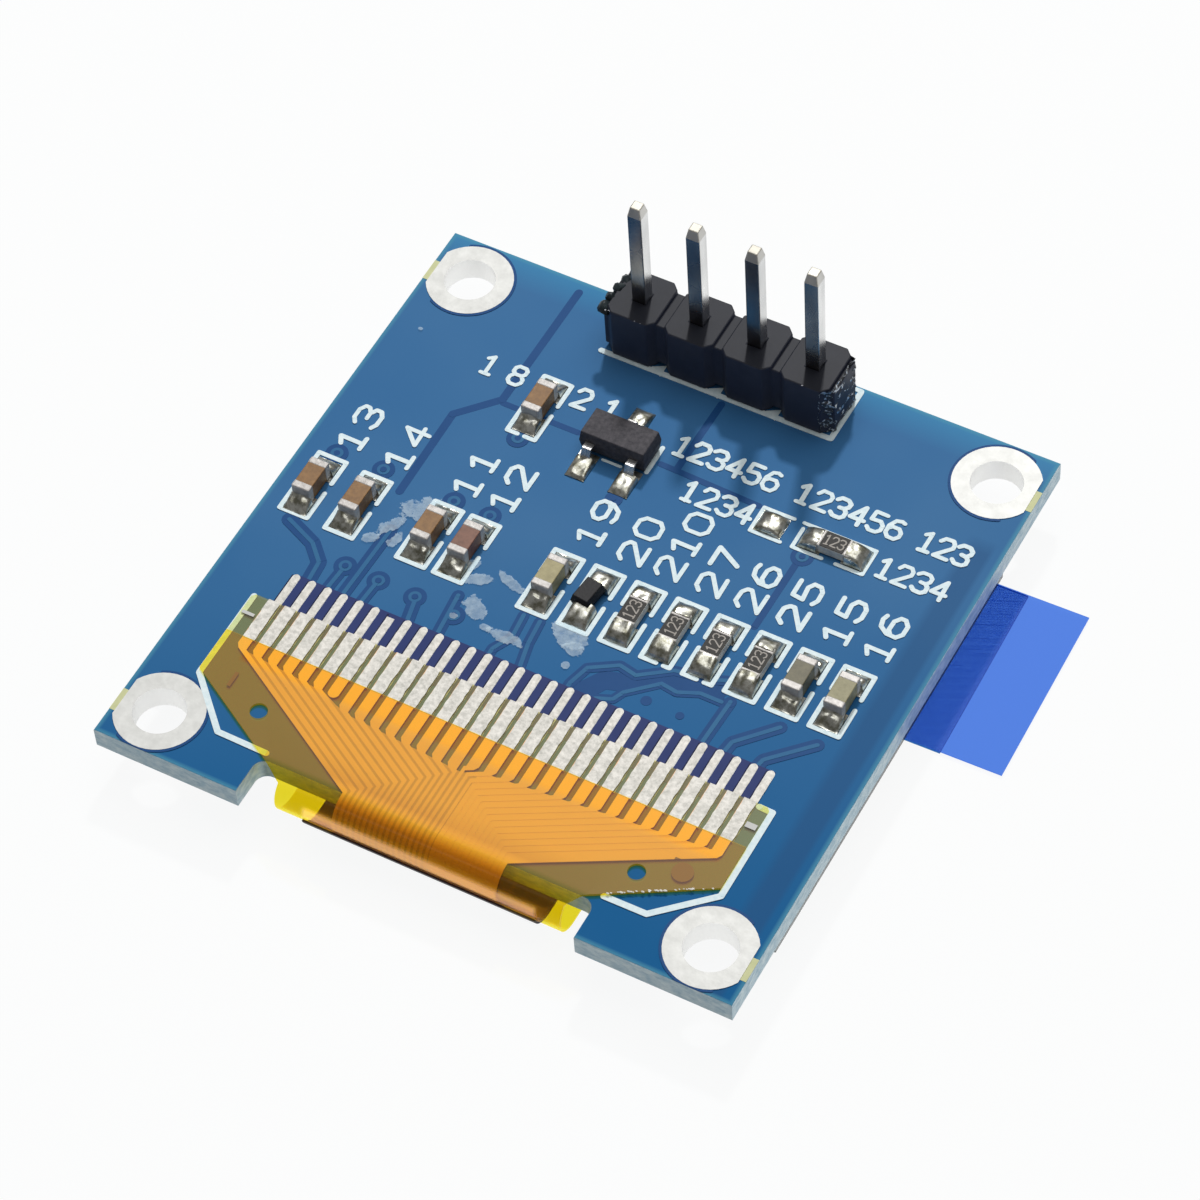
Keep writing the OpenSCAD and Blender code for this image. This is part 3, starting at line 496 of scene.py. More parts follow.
# Flecks on the torn face are painted near white and made metal, so they glint: painted glints.
sparkle = torn.level(torn.grain(0.12, 3, 0.5), 0.5, 0.6)
torn.paint(torn.mix(sparkle, screen(24, 27, 35), screen(222, 228, 234)))
torn.put(sparkle, torn.shader.inputs["Metallic"])
torn.bump(torn.grain(0.1, 4, 0.7), 0.05, 1.0)
HOUSING_LOW, HOUSING_HIGH = (Vector(v) * 1000 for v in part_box("header_housing"))
HOUSING_H = 2.52
END_X, END_Y = HOUSING_HIGH.x - 0.01, (HOUSING_LOW.y + HOUSING_HIGH.y) / 2
END_PLAN = [(-0.47, -1.24), (-0.17, -0.95), (0.0, -0.9), (0.0, 0.9), (-0.17, 0.95), (-0.47, 1.23)]
end_face = bmesh.new()
bmesh.ops.create_grid(end_face, x_segments=34, y_segments=30, size=0.5)
for v in end_face.verts:
    along = (v.co.x + 0.5) * (len(END_PLAN) - 1)
    k = min(int(along), len(END_PLAN) - 2)
    start, end = Vector(END_PLAN[k]), Vector(END_PLAN[k + 1])
    plan = start.lerp(end, along - k)
    height = (v.co.y + 0.5) * HOUSING_H
    rough = noise.turbulence(Vector((plan.x * 3, plan.y * 3.1, height * 3)), 4, False) * 0.16 - 0.02
    v.co = (END_X + plan.x + rough, END_Y + plan.y, LAND_TOP + 0.01 + height)
make_piece("torn_end", end_face, torn, "header_plastic", crease=20)

# Burrs and pale scuffs along the snapped left module.
burr_plastic = Finish("burred_moulding", screen(24, 34, 38), 0.45, specular=0.3)
burr_plastic.paint(burr_plastic.mottled(screen(20, 26, 30), screen(44, 56, 60), 0.2))
burrs = bmesh.new()
for x, y, z, size in (
    (-5.12, 11.3, 2.25, 0.3), (-5.05, 11.75, 2.38, 0.24), (-4.98, 12.3, 2.4, 0.26), (-4.92, 12.8, 2.42, 0.25),
    (-4.75, 13.15, 2.42, 0.26), (-4.5, 13.36, 2.5, 0.17), (-5.1, 11.6, 1.9, 0.16),
):
    place = Matrix.Translation((x, y, LAND_TOP + z))
    lump = bmesh.ops.create_icosphere(burrs, subdivisions=2, radius=size, matrix=place)
    for v in lump["verts"]:
        v.co += noise.noise_vector(v.co * 6) * size * 0.5
make_piece("header_burrs", burrs, burr_plastic, "header_plastic", crease=50)
scuff = Finish("scuffed_moulding", screen(170, 172, 178), 0.6)
scuffs = bmesh.new()
SCUFF_Z = LAND_TOP + HOUSING_H
for k in range(16):
    x = chance.choice((chance.uniform(-5.0, -4.55), chance.uniform(-3.65, -3.2), chance.uniform(3.6, 4.1)))
    radius = chance.uniform(0.015, 0.045)
    place = Matrix.Translation((x, 10.99 + chance.uniform(0, 0.05), SCUFF_Z))
    flake = bmesh.ops.create_icosphere(scuffs, subdivisions=1, radius=radius, matrix=place)
    for v in flake["verts"]:
        v.co.z = SCUFF_Z + (v.co.z - SCUFF_Z) * 0.4
make_piece("header_scuffs", scuffs, scuff, "header_plastic")

pin_metal = Finish("pin_plating", screen(150, 155, 164), 0.2, metallic=1.0)
streak = pin_metal.level(pin_metal.grain(1.2, 2, 0.5, (1, 1, 0.3)), 0.35, 0.75)
# Faces turned to the front are painted darker and the other sides lighter: painted shade and painted light.
pin_front_painted_shade = pin_metal.mix(streak, screen(128, 124, 124), screen(176, 172, 168))
pin_side_painted_light = pin_metal.mix(streak, screen(205, 206, 206), screen(246, 246, 244))
end_tone = pin_metal.mix(streak, screen(178, 174, 164), screen(205, 202, 192))
tone = pin_metal.mix(pin_metal.level(pin_metal.facing("Y"), -0.8, -0.5), pin_front_painted_shade, pin_side_painted_light)
upward = pin_metal.facing("Z")
pin_metal.paint(pin_metal.mix(pin_metal.level(upward, 0.1, 0.3), tone, end_tone))
polish = pin_metal.level(pin_metal.grain(1.5, 2), 0.3, 0.7, 0.22, 0.3)
polish = pin_metal.math("ADD", polish, pin_metal.level(upward, 0.1, 0.3, 0, 0.3))
pin_metal.put(polish, pin_metal.shader.inputs["Roughness"])
pin_metal.bump(pin_metal.grain(0.9, 2), 0.004, 0.4)
for k in range(1, 5):
    pin = solid_copy(f"header_pin_{k}")
    soften(pin, sharp_edges(pin, 12), 0.035)
    make_piece(f"square_pin_{k}", pin, pin_metal, "pin", f"header_pin_{k}")

bright_solder = Finish("bright_solder", screen(205, 205, 203), 0.3, metallic=0.9)
dull_spots = bright_solder.mottled(screen(134, 132, 116), screen(214, 213, 204), 0.35, 4, 0.65, (0.38, 0.62))
bright_solder.paint(dull_spots)
bright_solder.bump(bright_solder.grain(0.3, 2), 0.02, 0.6)
dress("chip_lands", bright_solder)
cones = solid_copy("header_solder")
make_piece("pin_solder", cones, bright_solder, "solder", "header_solder", crease=40)

# ---------------------------------------------------------------- chips
# Chip capacitors: a ceramic block between two plated ends. Chip resistors: white ceramic with
# a black glaze and pale digits. Each is 1.6 x 0.8 mm and sits in solder on its two lands.


def block(bm, centre, size, turn=0.0, edge=0.03, segments=2):
    """A box with softened edges, centred on centre and turned about Z."""
    place = Matrix.Translation(centre) @ Matrix.Rotation(math.radians(turn), 4, "Z")
    made = bmesh.ops.create_cube(bm, size=1, matrix=place @ Matrix.Diagonal((*size, 1)))
    edges = {e for v in made["verts"] for e in v.link_edges}
    soften(bm, edges, edge, segments)


def chip_point(chip, x, y, z):
    """A point of a chip's own axes (length along Y) on the board."""
    place = Matrix.Translation((chip[0], chip[1], LAND_TOP)) @ Matrix.Rotation(math.radians(chip[2]), 4, "Z")
    return place @ Vector((x, y, z))


def ceramic(name, colour, dark):
    """Fired ceramic, speckled with a darker tone."""
    finish = Finish(name, colour, 0.5, specular=0.4)
    finish.paint(finish.mottled(dark, colour, 0.25, 4, 0.65, (0.35, 0.65)))
    finish.bump(finish.grain(0.1, 3), 0.006, 0.6)
    return finish


brown = ceramic("brown_ceramic", screen(146, 106, 56), screen(122, 86, 42))
rust = ceramic("rust_ceramic", screen(134, 90, 70), screen(112, 74, 56))
khaki = ceramic("khaki_ceramic", screen(172, 162, 118), screen(152, 142, 100))
olive = ceramic("olive_ceramic", screen(118, 112, 86), screen(100, 95, 72))
sand = ceramic("sand_ceramic", screen(158, 152, 116), screen(138, 132, 98))

end_metal = Finish("chip_end_tin", screen(180, 176, 172), 0.45, metallic=0.25, specular=0.2)
end_metal.paint(end_metal.mottled(screen(166, 162, 158), screen(198, 194, 190), 0.2, 4, 0.6, (0.3, 0.7)))
end_metal.bump(end_metal.grain(0.12, 3), 0.012, 0.7)

LENGTH, WIDTH, TALL, LOW = 1.6, 0.8, 0.8, 0.45
CAPACITORS = [
    ((-12.02, ROW_Y, 0), brown), ((-9.94, ROW_Y, 0), brown), ((-6.74, ROW_Y, 0), brown),
    ((-5.1, ROW_Y, 0), rust), ((-1.418, ROW_Y, 0), khaki), ((9.25, ROW_Y, 0), olive),
    ((11.028, ROW_Y, 0), sand), ((-5.96, 7.28, 0), brown),
]
for number_of, (chip, body_finish) in enumerate(CAPACITORS, 1):
    body = bmesh.new()
    block(body, chip_point(chip, 0, 0, TALL / 2), (WIDTH - 0.03, LENGTH - 0.1, TALL - 0.03), chip[2], 0.03)
    name = f"capacitor_{number_of}"
    make_piece(f"{name}_ceramic", body, body_finish, "ceramic", f"{name}_body")
    ends = bmesh.new()
    for side in (-1, 1):
        centre = chip_point(chip, 0, side * (LENGTH / 2 - 0.165), TALL / 2)
        block(ends, centre, (WIDTH, 0.33, TALL), chip[2], 0.055, 3)
    make_piece(f"{name}_terminals", ends, end_metal, "tin", f"{name}_ends")

white_ceramic = ceramic("white_ceramic", screen(222, 220, 212), screen(204, 200, 190))
glaze = Finish("black_glaze", screen(30, 28, 28), 0.5, specular=0.2)
glaze.paint(glaze.mottled(screen(34, 33, 31), screen(54, 51, 47), 0.3))
pale_mark = Finish("pale_digits", screen(150, 143, 134), 0.5)
RESISTORS = [(x, ROW_Y, 0) for x in (2.138, 3.916, 5.694, 7.472)] + [(7.58, 6.14, 90)]
glazes = bmesh.new()
marks = bmesh.new()
for number_of, chip in enumerate(RESISTORS, 1):
    body = bmesh.new()
    block(body, chip_point(chip, 0, 0, LOW / 2), (WIDTH - 0.01, LENGTH - 0.08, LOW - 0.03), chip[2], 0.02)
    name = f"resistor_{number_of}"
    make_piece(f"{name}_ceramic", body, white_ceramic, "white_ceramic", f"{name}_body")
    ends = bmesh.new()
    for side in (-1, 1):
        centre = chip_point(chip, 0, side * (LENGTH / 2 - 0.16), LOW / 2)
        block(ends, centre, (WIDTH, 0.32, LOW), chip[2], 0.06, 3)
    make_piece(f"{name}_terminals", ends, end_metal, "tin", f"{name}_ends")
    block(glazes, chip_point(chip, 0, 0, LOW - 0.02), (WIDTH - 0.03, 1.0, 0.04), chip[2], 0.012)
    # The digits run along the chip, from one corner of its glaze.
    side, turn = (1, 90) if chip[2] == 0 else (-1, 0)
    corner = chip_point(chip, side * 0.24, side * -0.42, 0)
    on_glaze = {"level": LAND_TOP + LOW + 0.006, "turn": turn, "glyph_width": 0.5}
    number(marks, "123", corner.xy, 0.46, 0.3, 0.055, **on_glaze)
make_piece("resistor_glaze", glazes, glaze, "black_glaze", "resistor_glazes")
make_piece("resistor_digits", marks, pale_mark, "white_sheet")

# ---------------------------------------------------------------- regulator and diode
# A regulator in a three-lead moulded case and a small two-lead diode set by hand a little askew.

resin = Finish("black_resin", screen(74, 72, 77), 0.62, specular=0.15)
resin.paint(resin.mottled(screen(60, 59, 64), screen(92, 89, 93), 0.18, 4, 0.7, (0.3, 0.75)))
resin.bump(resin.grain(0.08, 3), 0.012, 0.7)
case = solid_copy("regulator_body")
soften(case, sharp_edges(case), 0.035)
make_piece("regulator_case", case, resin, "black_resin", "regulator_body")
lead_metal = Finish("lead_tin", screen(200, 199, 198), 0.26, metallic=0.9)
lead_metal.paint(lead_metal.mottled(screen(150, 148, 148), screen(225, 224, 222), 0.3))
lead_metal.bump(lead_metal.grain(0.2, 2), 0.015, 0.5)
leads = solid_copy("regulator_leads")
soften(leads, sharp_edges(leads), 0.02)
make_piece("regulator_legs", leads, lead_metal, "tin", "regulator_leads")

dark_resin = Finish("diode_resin", screen(30, 29, 31), 0.5, specular=0.2)
dark_resin.bump(dark_resin.grain(0.1, 3), 0.012, 0.7)
diode = solid_copy("diode_body")
soften(diode, sharp_edges(diode), 0.03)
make_piece("diode_case", diode, dark_resin, "black_resin", "diode_body")
dress("diode_leads", lead_metal)

# ---------------------------------------------------------------- chip solder
# Solder wets each land and climbs the plated end, in a hollow slope at the capacitors and in a
# fuller heap elsewhere.


LAND_OUT, LAND_W = 1.42, 1.0


def new_points(made):
    """The points that an extrusion has added."""
    return [v for v in made["geom"] if isinstance(v, bmesh.types.BMVert)]


def solder_slope(bm, chip, side, start, rise, seed, mound=False, end=LAND_OUT, width=LAND_W):
    """Solder from a chip's end at start, as high as rise, down to the land's end. It is a hollow
    slope, or with mound a rounded heap."""
    made = bmesh.ops.create_grid(bm, x_segments=20, y_segments=20, size=0.5)
    top = set(made["verts"])
    for v in made["verts"]:
        across, along = v.co.x * 2, v.co.y + 0.5
        rim = max(0.0, 1 - abs(across) ** 6) ** 0.5
        if mound:
            height = rise * max(0.0, 1 - along ** 2.2) ** 0.7 + 0.03
        else:
            height = 0.03 + (rise - 0.03) * (1 - along) ** 1.8 + 0.1 * math.sin(math.pi * along) ** 2
        height *= min(1.0, (1 - along) * 8 + 0.1)
        lump = noise.noise(Vector((across * 1.3 + seed * 3.1, along * 2.2, seed))) * (0.05 if mound else 0.09)
        height = max(0.004, (height + lump * (1 - abs(across) ** 3)) * rim)
        v.co = chip_point(chip, across * width / 2, side * (start + (end - start) * along), height)
    rim_edges = [e for e in bm.edges if e.is_boundary and e.verts[0] in top and e.verts[1] in top]
    for v in new_points(bmesh.ops.extrude_edge_only(bm, edges=rim_edges)):
        v.co.z = LAND_TOP - 0.038


solder = bmesh.new()
seeds = itertools.count(1)
for chip, _ in CAPACITORS:
    for side in (-1, 1):
        solder_slope(solder, chip, side, LENGTH / 2 - 0.03, 0.42, next(seeds))
for chip in RESISTORS:
    for side in (-1, 1):
        solder_slope(solder, chip, side, LENGTH / 2 - 0.2, 0.46, next(seeds), mound=True)
for side in (-1, 1):
    solder_slope(solder, (0.36, ROW_Y, 0), side, 0.46, 0.4, next(seeds), mound=True)
for x, side in ((-0.95, -1), (0.95, -1), (0, 1)):
    foot = (-2.12 + x, 6.86, 0)
    solder_slope(solder, foot, side, 1.12, 0.22, next(seeds), mound=True, end=2.1, width=0.84)
for side in (-1, 1):
    solder_slope(solder, (4.87, 6.14, 90), side, -0.02, 0.24, next(seeds), mound=True, end=0.57, width=0.98)
make_piece("chip_solder_joints", solder, bright_solder, "solder", "chip_solder", crease=60)

# ---------------------------------------------------------------- flex tail
# A polyimide film with thirty copper fingers, soldered to the board's pads and folded down round
# the notch to the glass. It is made flat and then bent: a point's height becomes its radius.

FINGER_TOP, COVER_EDGE, SHOULDER, FILM_LOW_END = -5.65, -7.6, -9.6, -8.4
FOLD_Y, FOLD_Z, INNER_R, MIDDLE_R = -12.13, 1.92, 0.92, 0.975
FLEX_X = -0.25
FOLD_LEFT, FOLD_RIGHT = -6.05, 6.07
HALF_FILM = 11.12
HALF_SHOULDER = HALF_FILM - (SHOULDER - FOLD_Y) / math.tan(math.radians(30))
FOLD_END = FOLD_Y - math.pi * MIDDLE_R


def bend(bm):
    """Wraps a flat piece (x, run, height over the pads) round the fold."""
    for v in bm.verts:
        x, run, height = v.co
        if run >= FOLD_Y:
            v.co = (x, run, LAND_TOP + height)
            continue
        turn = min((FOLD_Y - run) / MIDDLE_R, math.pi)
        radius = INNER_R + height
        beyond = max(0.0, FOLD_END - run)
        v.co = (x, FOLD_Y - radius * math.sin(turn) + beyond, FOLD_Z + radius * math.cos(turn))


def flat_sheet(outline, holes, low, high, cuts):
    """A flat closed sheet with round holes, cut across where it will bend."""
    bm = bmesh.new()
    rim = [bm.verts.new((x, y, low)) for x, y in outline]
    edges = [bm.edges.new(pair) for pair in zip(rim, rim[1:] + rim[:1])]
    for x, y, radius in holes:
        place = Matrix.Translation((x, y, low))
        ring = bmesh.ops.create_circle(bm, segments=32, radius=radius, matrix=place)
        edges += list({e for v in ring["verts"] for e in v.link_edges})
    bmesh.ops.triangle_fill(bm, use_beauty=True, use_dissolve=False, edges=edges)
    for y in cuts:
        geometry = bm.verts[:] + bm.edges[:] + bm.faces[:]
        bmesh.ops.bisect_plane(bm, geom=geometry, plane_co=(0, y, 0), plane_no=(0, 1, 0))
    raised = bmesh.ops.extrude_face_region(bm, geom=bm.faces[:], use_keep_orig=True)
    bmesh.ops.translate(bm, vec=(0, 0, high - low), verts=new_points(raised))
    bmesh.ops.recalc_face_normals(bm, faces=bm.faces)
    return bm


def film_finish(name, clear, body, specular):
    """A film that passes light tinted by clear and scatters body of the rest."""
    finish = Finish(name, body, 0.4, specular=specular)
    finish.paint(finish.mottled(body, tuple(c * 0.9 for c in body), 2.5, 2))
    through = finish.add("BsdfTransparent", {"Color": (*clear, 1)})
    both = finish.add("AddShader", {0: through.outputs[0], 1: finish.shader.outputs[0]})
    finish.tree.links.new(both.outputs[0], finish.output.inputs["Surface"])
    return finish


def round_fold(finish):
    """How far round the fold a point lies: 1.57 where the bend starts, 0 at its front, more on
    the board."""
    _, y, z = finish.where()
    run = finish.math("ADD", y, -FOLD_Y / 1000)
    ahead = finish.math("MULTIPLY", finish.math("MINIMUM", run, 0.0), -1.0)
    turn = finish.math("ARCTAN2", finish.math("ADD", z, -FOLD_Z / 1000), ahead)
    behind = finish.math("DIVIDE", finish.math("MAXIMUM", run, 0.0), 0.00103)
    return finish.math("ADD", turn, behind)


def painted_fold_light(finish, colour):
    """Painted light and shade round the fold: golden where it is lit, dark brown where it is shaded, then a
    pale painted reflection at its foot.
    """
    ramp = finish.add("ValToRGB", {0: finish.level(round_fold(finish), -0.3, 2.83)})
    stops = [
        (0.0, 1.1, 1.25, 1.7), (0.207, 1.1, 1.2, 1.5), (0.263, 0.9, 0.72, 0.6), (0.32, 0.72, 0.46, 0.2),
        (0.43, 0.66, 0.4, 0.15), (0.486, 0.86, 0.6, 0.2), (0.542, 1.0, 0.86, 0.6), (0.598, 1.12, 1.1, 0.95),
        (0.66, 1.05, 1.05, 0.95), (0.75, 0.88, 0.83, 0.55), (0.9, 0.95, 0.94, 0.8), (1.0, 1.0, 1.0, 1.0),
    ]
    marks = ramp.color_ramp.elements
    while len(marks) < len(stops):
        marks.new(0.5)
    for mark, (at, *tone) in zip(marks, stops):
        mark.position, mark.color = at, (*tone, 1)
    both = {0: 1.0, 6: colour, 7: ramp.outputs[0]}
    return finish.add("Mix", both, data_type="RGBA", blend_type="MULTIPLY").outputs[2]


# A ray crosses two faces of a film, so each face carries half of its tint and body. Glued flat
# on the board the film scatters more, a dull brown, redder between the fingers. The taped foot of
# the fold is painted pale and made partly metallic: a painted reflection of the pale ground.
amber = film_finish("amber_film", (0.885, 0.82, 0.15), (0.135, 0.057, 0.045), specular=0.1)
x, y, _ = amber.where()
taped = amber.level(amber.math("ABSOLUTE", amber.math("ADD", x, -0.00009)), 0.00485, 0.00505, 1, 0)
glued = amber.mix(amber.level(y, -0.0122, -0.0119), (0.05, 0.025, 0.003), (0.13, 0.055, 0.035))
in_fan = amber.level(amber.math("ABSOLUTE", x), 0.0101, 0.0103, 1, 0)
between = amber.math("MULTIPLY", amber.level(y, -0.0087, -0.0085), in_fan)
glued = amber.mix(between, glued, (0.15, 0.035, 0.012))
foot = amber.math("MULTIPLY", taped, amber.level(round_fold(amber), 0.3, 0.52, 1, 0))
amber.paint(amber.mix(foot, glued, (0.42, 0.27, 0.19)))
amber.put(amber.math("MULTIPLY", foot, 0.7), amber.shader.inputs["Metallic"])
pale_amber = film_finish("thin_amber_film", (0.86, 0.86, 0.6), (0.078, 0.058, 0.033), specular=0.1)

NARROW = FOLD_Y - 0.62
bend_cuts = [FOLD_Y - math.pi * MIDDLE_R * k / 24 for k in range(25)] + [NARROW]
left, right = FLEX_X - HALF_FILM, FLEX_X + HALF_FILM
top_outline = [
    (left, COVER_EDGE), (right, COVER_EDGE), (right, FINGER_TOP - 0.12), (right - 0.12, FINGER_TOP),
    (left + 0.15, FINGER_TOP), (left, FINGER_TOP - 0.15),
]
bare_film = flat_sheet(top_outline, [], 0.0, 0.05, [])
bend(bare_film)
make_piece("bare_film", bare_film, pale_amber, "amber_film", "flex_film", crease=40)
LOW_END = FOLD_END - (FILM_LOW_END - FOLD_Y)
film_rim = [
    (left, COVER_EDGE), (left, SHOULDER), (FLEX_X - HALF_SHOULDER, FOLD_Y), (FOLD_LEFT, NARROW),
    (FOLD_LEFT, LOW_END), (FOLD_RIGHT, LOW_END), (FOLD_RIGHT, NARROW), (FLEX_X + HALF_SHOULDER, FOLD_Y),
    (right, SHOULDER), (right, COVER_EDGE),
]
film_holes = [(FLEX_X - 8.05, SHOULDER - 0.75, 0.35), (FLEX_X + 8.05, SHOULDER - 0.75, 0.35)]
covered_film = flat_sheet(film_rim, film_holes, 0.0, 0.11, sorted(bend_cuts))
bend(covered_film)
make_piece("covered_film", covered_film, amber, "amber_film", "flex_cover", crease=40)

# Adhesive fills the narrow gaps of the fan, and on the right looks almost as bright as the copper. On the
# left it is painted darker: painted shade in the gaps that lie across the light.
FAN_LEFT = [(-10.08, -8.16), (-6.5, -8.5), (-5.84, -8.8), (-5.14, -9.0), (-0.1, -9.36), (0.5, -9.04)]
FAN_RIGHT = [(9.66, -8.24), (9.9, -8.45), (3.4, -12.05)]
fan_cuts = sorted(bend_cuts[1:24])
left_rim = [(0.5, FOLD_Y), (0.5, FOLD_END), (-3.6, FOLD_END), (-3.6, FOLD_Y + 0.05), (-10.1, -8.35)]
right_rim = [(0.5, FOLD_END), (0.5, FOLD_Y), (0.5, -9.04)]
left_sheet = FAN_LEFT + left_rim
right_sheet = right_rim + FAN_RIGHT + [(3.4, FOLD_Y), (3.4, FOLD_END)]
for side, rim, plain, one, other in (
    ("left", left_sheet, (0.52, 0.29, 0.22), (0.64, 0.36, 0.21), (0.58, 0.32, 0.19)),
    ("right", right_sheet, (0.73, 0.40, 0.3), (0.865, 0.478, 0.30), (0.82, 0.45, 0.28)),
):
    sheet = flat_sheet(rim, [], 0.051, 0.071, fan_cuts)
    bend(sheet)
    fill = Finish(f"fan_adhesive_{side}", plain, 0.6, specular=0.1)
    fill.paint(painted_fold_light(fill, fill.mottled(one, other, 1.5)))
    make_piece(f"fan_fill_{side}", sheet, fill, "copper", crease=40)

copper = Finish("copper_under_film", (0.73, 0.43, 0.32), 0.5, specular=0.15)
x, y, _ = copper.where()
across = copper.math("ABSOLUTE", copper.math("ADD", x, -FLEX_X / 1000))
right_of = copper.level(across, 0.0090, 0.00902)
on_mark = copper.math("MULTIPLY", right_of, copper.level(y, -0.00913, -0.0091, 1, 0))
bare = copper.level(across, 0.01051, 0.01053)
copper_and_sheen = copper.mottled((0.88, 0.475, 0.30), (0.81, 0.435, 0.28), 1.5)
# Over the fingers the copper is painted brighter: a painted sheen.
copper_and_sheen = copper.mix(copper.level(y, -0.0088, -0.0084), copper_and_sheen, (0.97, 0.57, 0.32))
copper_and_sheen = copper.mix(on_mark, copper_and_sheen, (0.17, 0.10, 0.08))
copper.paint(painted_fold_light(copper, copper.mix(bare, copper_and_sheen, (0.62, 0.62, 0.6))))
dress("flex_traces", copper)

# The fingers' free ends are tinned: a dull, slightly ragged coat over the copper.
dull_coat = Finish("dull_tinning", screen(226, 223, 216), 0.55, metallic=0.1, specular=0.3)
dull_coat.paint(dull_coat.mottled(screen(186, 184, 176), screen(236, 232, 224), 0.2, 4, 0.7, (0.3, 0.65)))
dull_coat.bump(dull_coat.grain(0.15, 3), 0.02, 0.8)


def ragged_strip(bm, x, low, high, width, level, seed, rounded=False):
    """A thin coat along a finger, its two sides wavering a little."""
    made = bmesh.ops.create_grid(bm, x_segments=2, y_segments=15, size=0.5)
    for v in made["verts"]:
        along = v.co.y + 0.5
        side = v.co.x * 2
        half = width / 2
        if rounded and along > 0.9:
            half *= max(0.25, math.sqrt(max(0.0, 1 - ((along - 0.9) / 0.1) ** 2)))
        waver = noise.noise(Vector((seed * 1.7 + side * 5, along * 7.0, 0.3))) * 0.035
        v.co = (x + side * half + (waver if side else 0), low + (high - low) * along, level)
    faces = list({f for v in made["verts"] for f in v.link_faces})
    raised = bmesh.ops.extrude_face_region(bm, geom=faces, use_keep_orig=True)
    bmesh.ops.translate(bm, vec=(0, 0, COAT), verts=new_points(raised))


COAT, BLIND_FINGER = 0.014, 6
finger_coats = bmesh.new()
pad_coats = bmesh.new()
for k in range(FINGERS):
    step = (FIRST_STEP + k) * FINGER_PITCH
    finger_x = FLEX_X + 0.07 + step
    ragged_strip(finger_coats, finger_x, COVER_EDGE - 0.02, FINGER_TOP, 0.50, LAND_TOP + 0.079, k)
    short = 0.2 if k == BLIND_FINGER else 0
    pad_level, pad_seed = LAND_TOP - 0.002, k + 50
    ends = (FINGER_TOP - 0.3, -4.1 - short)
    ragged_strip(pad_coats, PAD_X + step, *ends, 0.30, pad_level, pad_seed, rounded=not short)
make_piece("finger_tinning", finger_coats, dull_coat, "tin")
make_piece("pad_tinning", pad_coats, dull_coat, "tin")

# Pale beads along the film's lower right edge: a painted highlight where that edge catches the light.
highlight_beads = bmesh.new()
for k in range(34):
    x = chance.uniform(7.3, 10.7)
    middle = Vector((x, -9.6 - (10.87 - x) * 0.577 + chance.uniform(-0.01, 0.05), LAND_TOP + 0.11))
    highlight_bead = bmesh.ops.create_icosphere(highlight_beads, subdivisions=1, radius=chance.uniform(0.02, 0.055))
    for v in highlight_bead["verts"]:
        v.co = middle + Vector((v.co.x * 1.6, v.co.y, v.co.z * 0.4))
make_piece("film_edge_highlight_beads", highlight_beads, dull_coat, "white_sheet")

# The tape is dark outside; its glue side, seen through the film, is tan.
dark_tape = Finish("dark_tape", screen(40, 22, 34), 0.5, specular=0.2)
_, y, z = dark_tape.where()
ahead = dark_tape.math("MINIMUM", dark_tape.math("ADD", y, -FOLD_Y / 1000), 0.0)
down = dark_tape.math("ADD", z, -FOLD_Z / 1000)
squares = [dark_tape.math("MULTIPLY", side, side) for side in (ahead, down)]
radius = dark_tape.math("SQRT", dark_tape.math("ADD", *squares))
glue_side = dark_tape.level(radius, 0.00104, 0.00105, 1, 0)
tan = dark_tape.mottled((0.62, 0.40, 0.28), (0.50, 0.33, 0.22), 1.0)
dark_tape.paint(dark_tape.mix(glue_side, screen(40, 22, 34), tan))
dark_tape.bump(dark_tape.grain(0.3, 3), 0.01, 0.5)
dress("fold_tape", dark_tape)

# ---------------------------------------------------------------- display
# Two bonded sheets of glass with the picture layer between them and a near-black polarizer on
# the viewing side, fixed under the board with foam tape.

glass = Finish("display_glass", screen(215, 225, 222), 0.05, specular=0.5)
glass.shader.inputs["Transmission Weight"].default_value = 0.85
glass.bump(glass.grain(3, 2), 0.002, 0.2)
for node in ("display_glass", "cap_glass"):
    dress(node, glass)
dark_film = Finish("dark_polarizer", screen(20, 21, 25), 0.16, specular=0.5)
dark_film.bump(dark_film.grain(4, 2), 0.003, 0.3)
for node in ("polarizer", "pixel_layer", "driver_chip"):
    dress(node, dark_film)
foam = Finish("white_foam", screen(225, 224, 220), 0.8)
foam.bump(foam.grain(0.2, 3), 0.03, 0.6)
for node in ("drying_sheet", "mounting_tape"):
    dress(node, foam)
bond = Finish("bonding_film", screen(150, 140, 100), 0.5)
bond.bump(bond.grain(0.2, 3), 0.005, 0.5)
dress("bond_films", bond)

# ---------------------------------------------------------------- protective film
# A clear blue film over the display, and a blue adhesive tab that pulls it off. The tab is two
# layers thick, and so darker, where it lies over the film's tongue.

clear_blue = film_finish("clear_blue_film", (0.02, 0.18, 0.50), (0.001, 0.008, 0.065), specular=0.03)
dress("protective_film", clear_blue)
tab_blue = film_finish("blue_tab_film", (0.27, 0.45, 0.83), (0.001, 0.008, 0.04), specular=0.04)
dress("pull_tab", tab_blue)

# ---------------------------------------------------------------- residue
# Dried flux and fingerprints: thin whitish films between the chips and the fingers, and a few
# specks of dust.

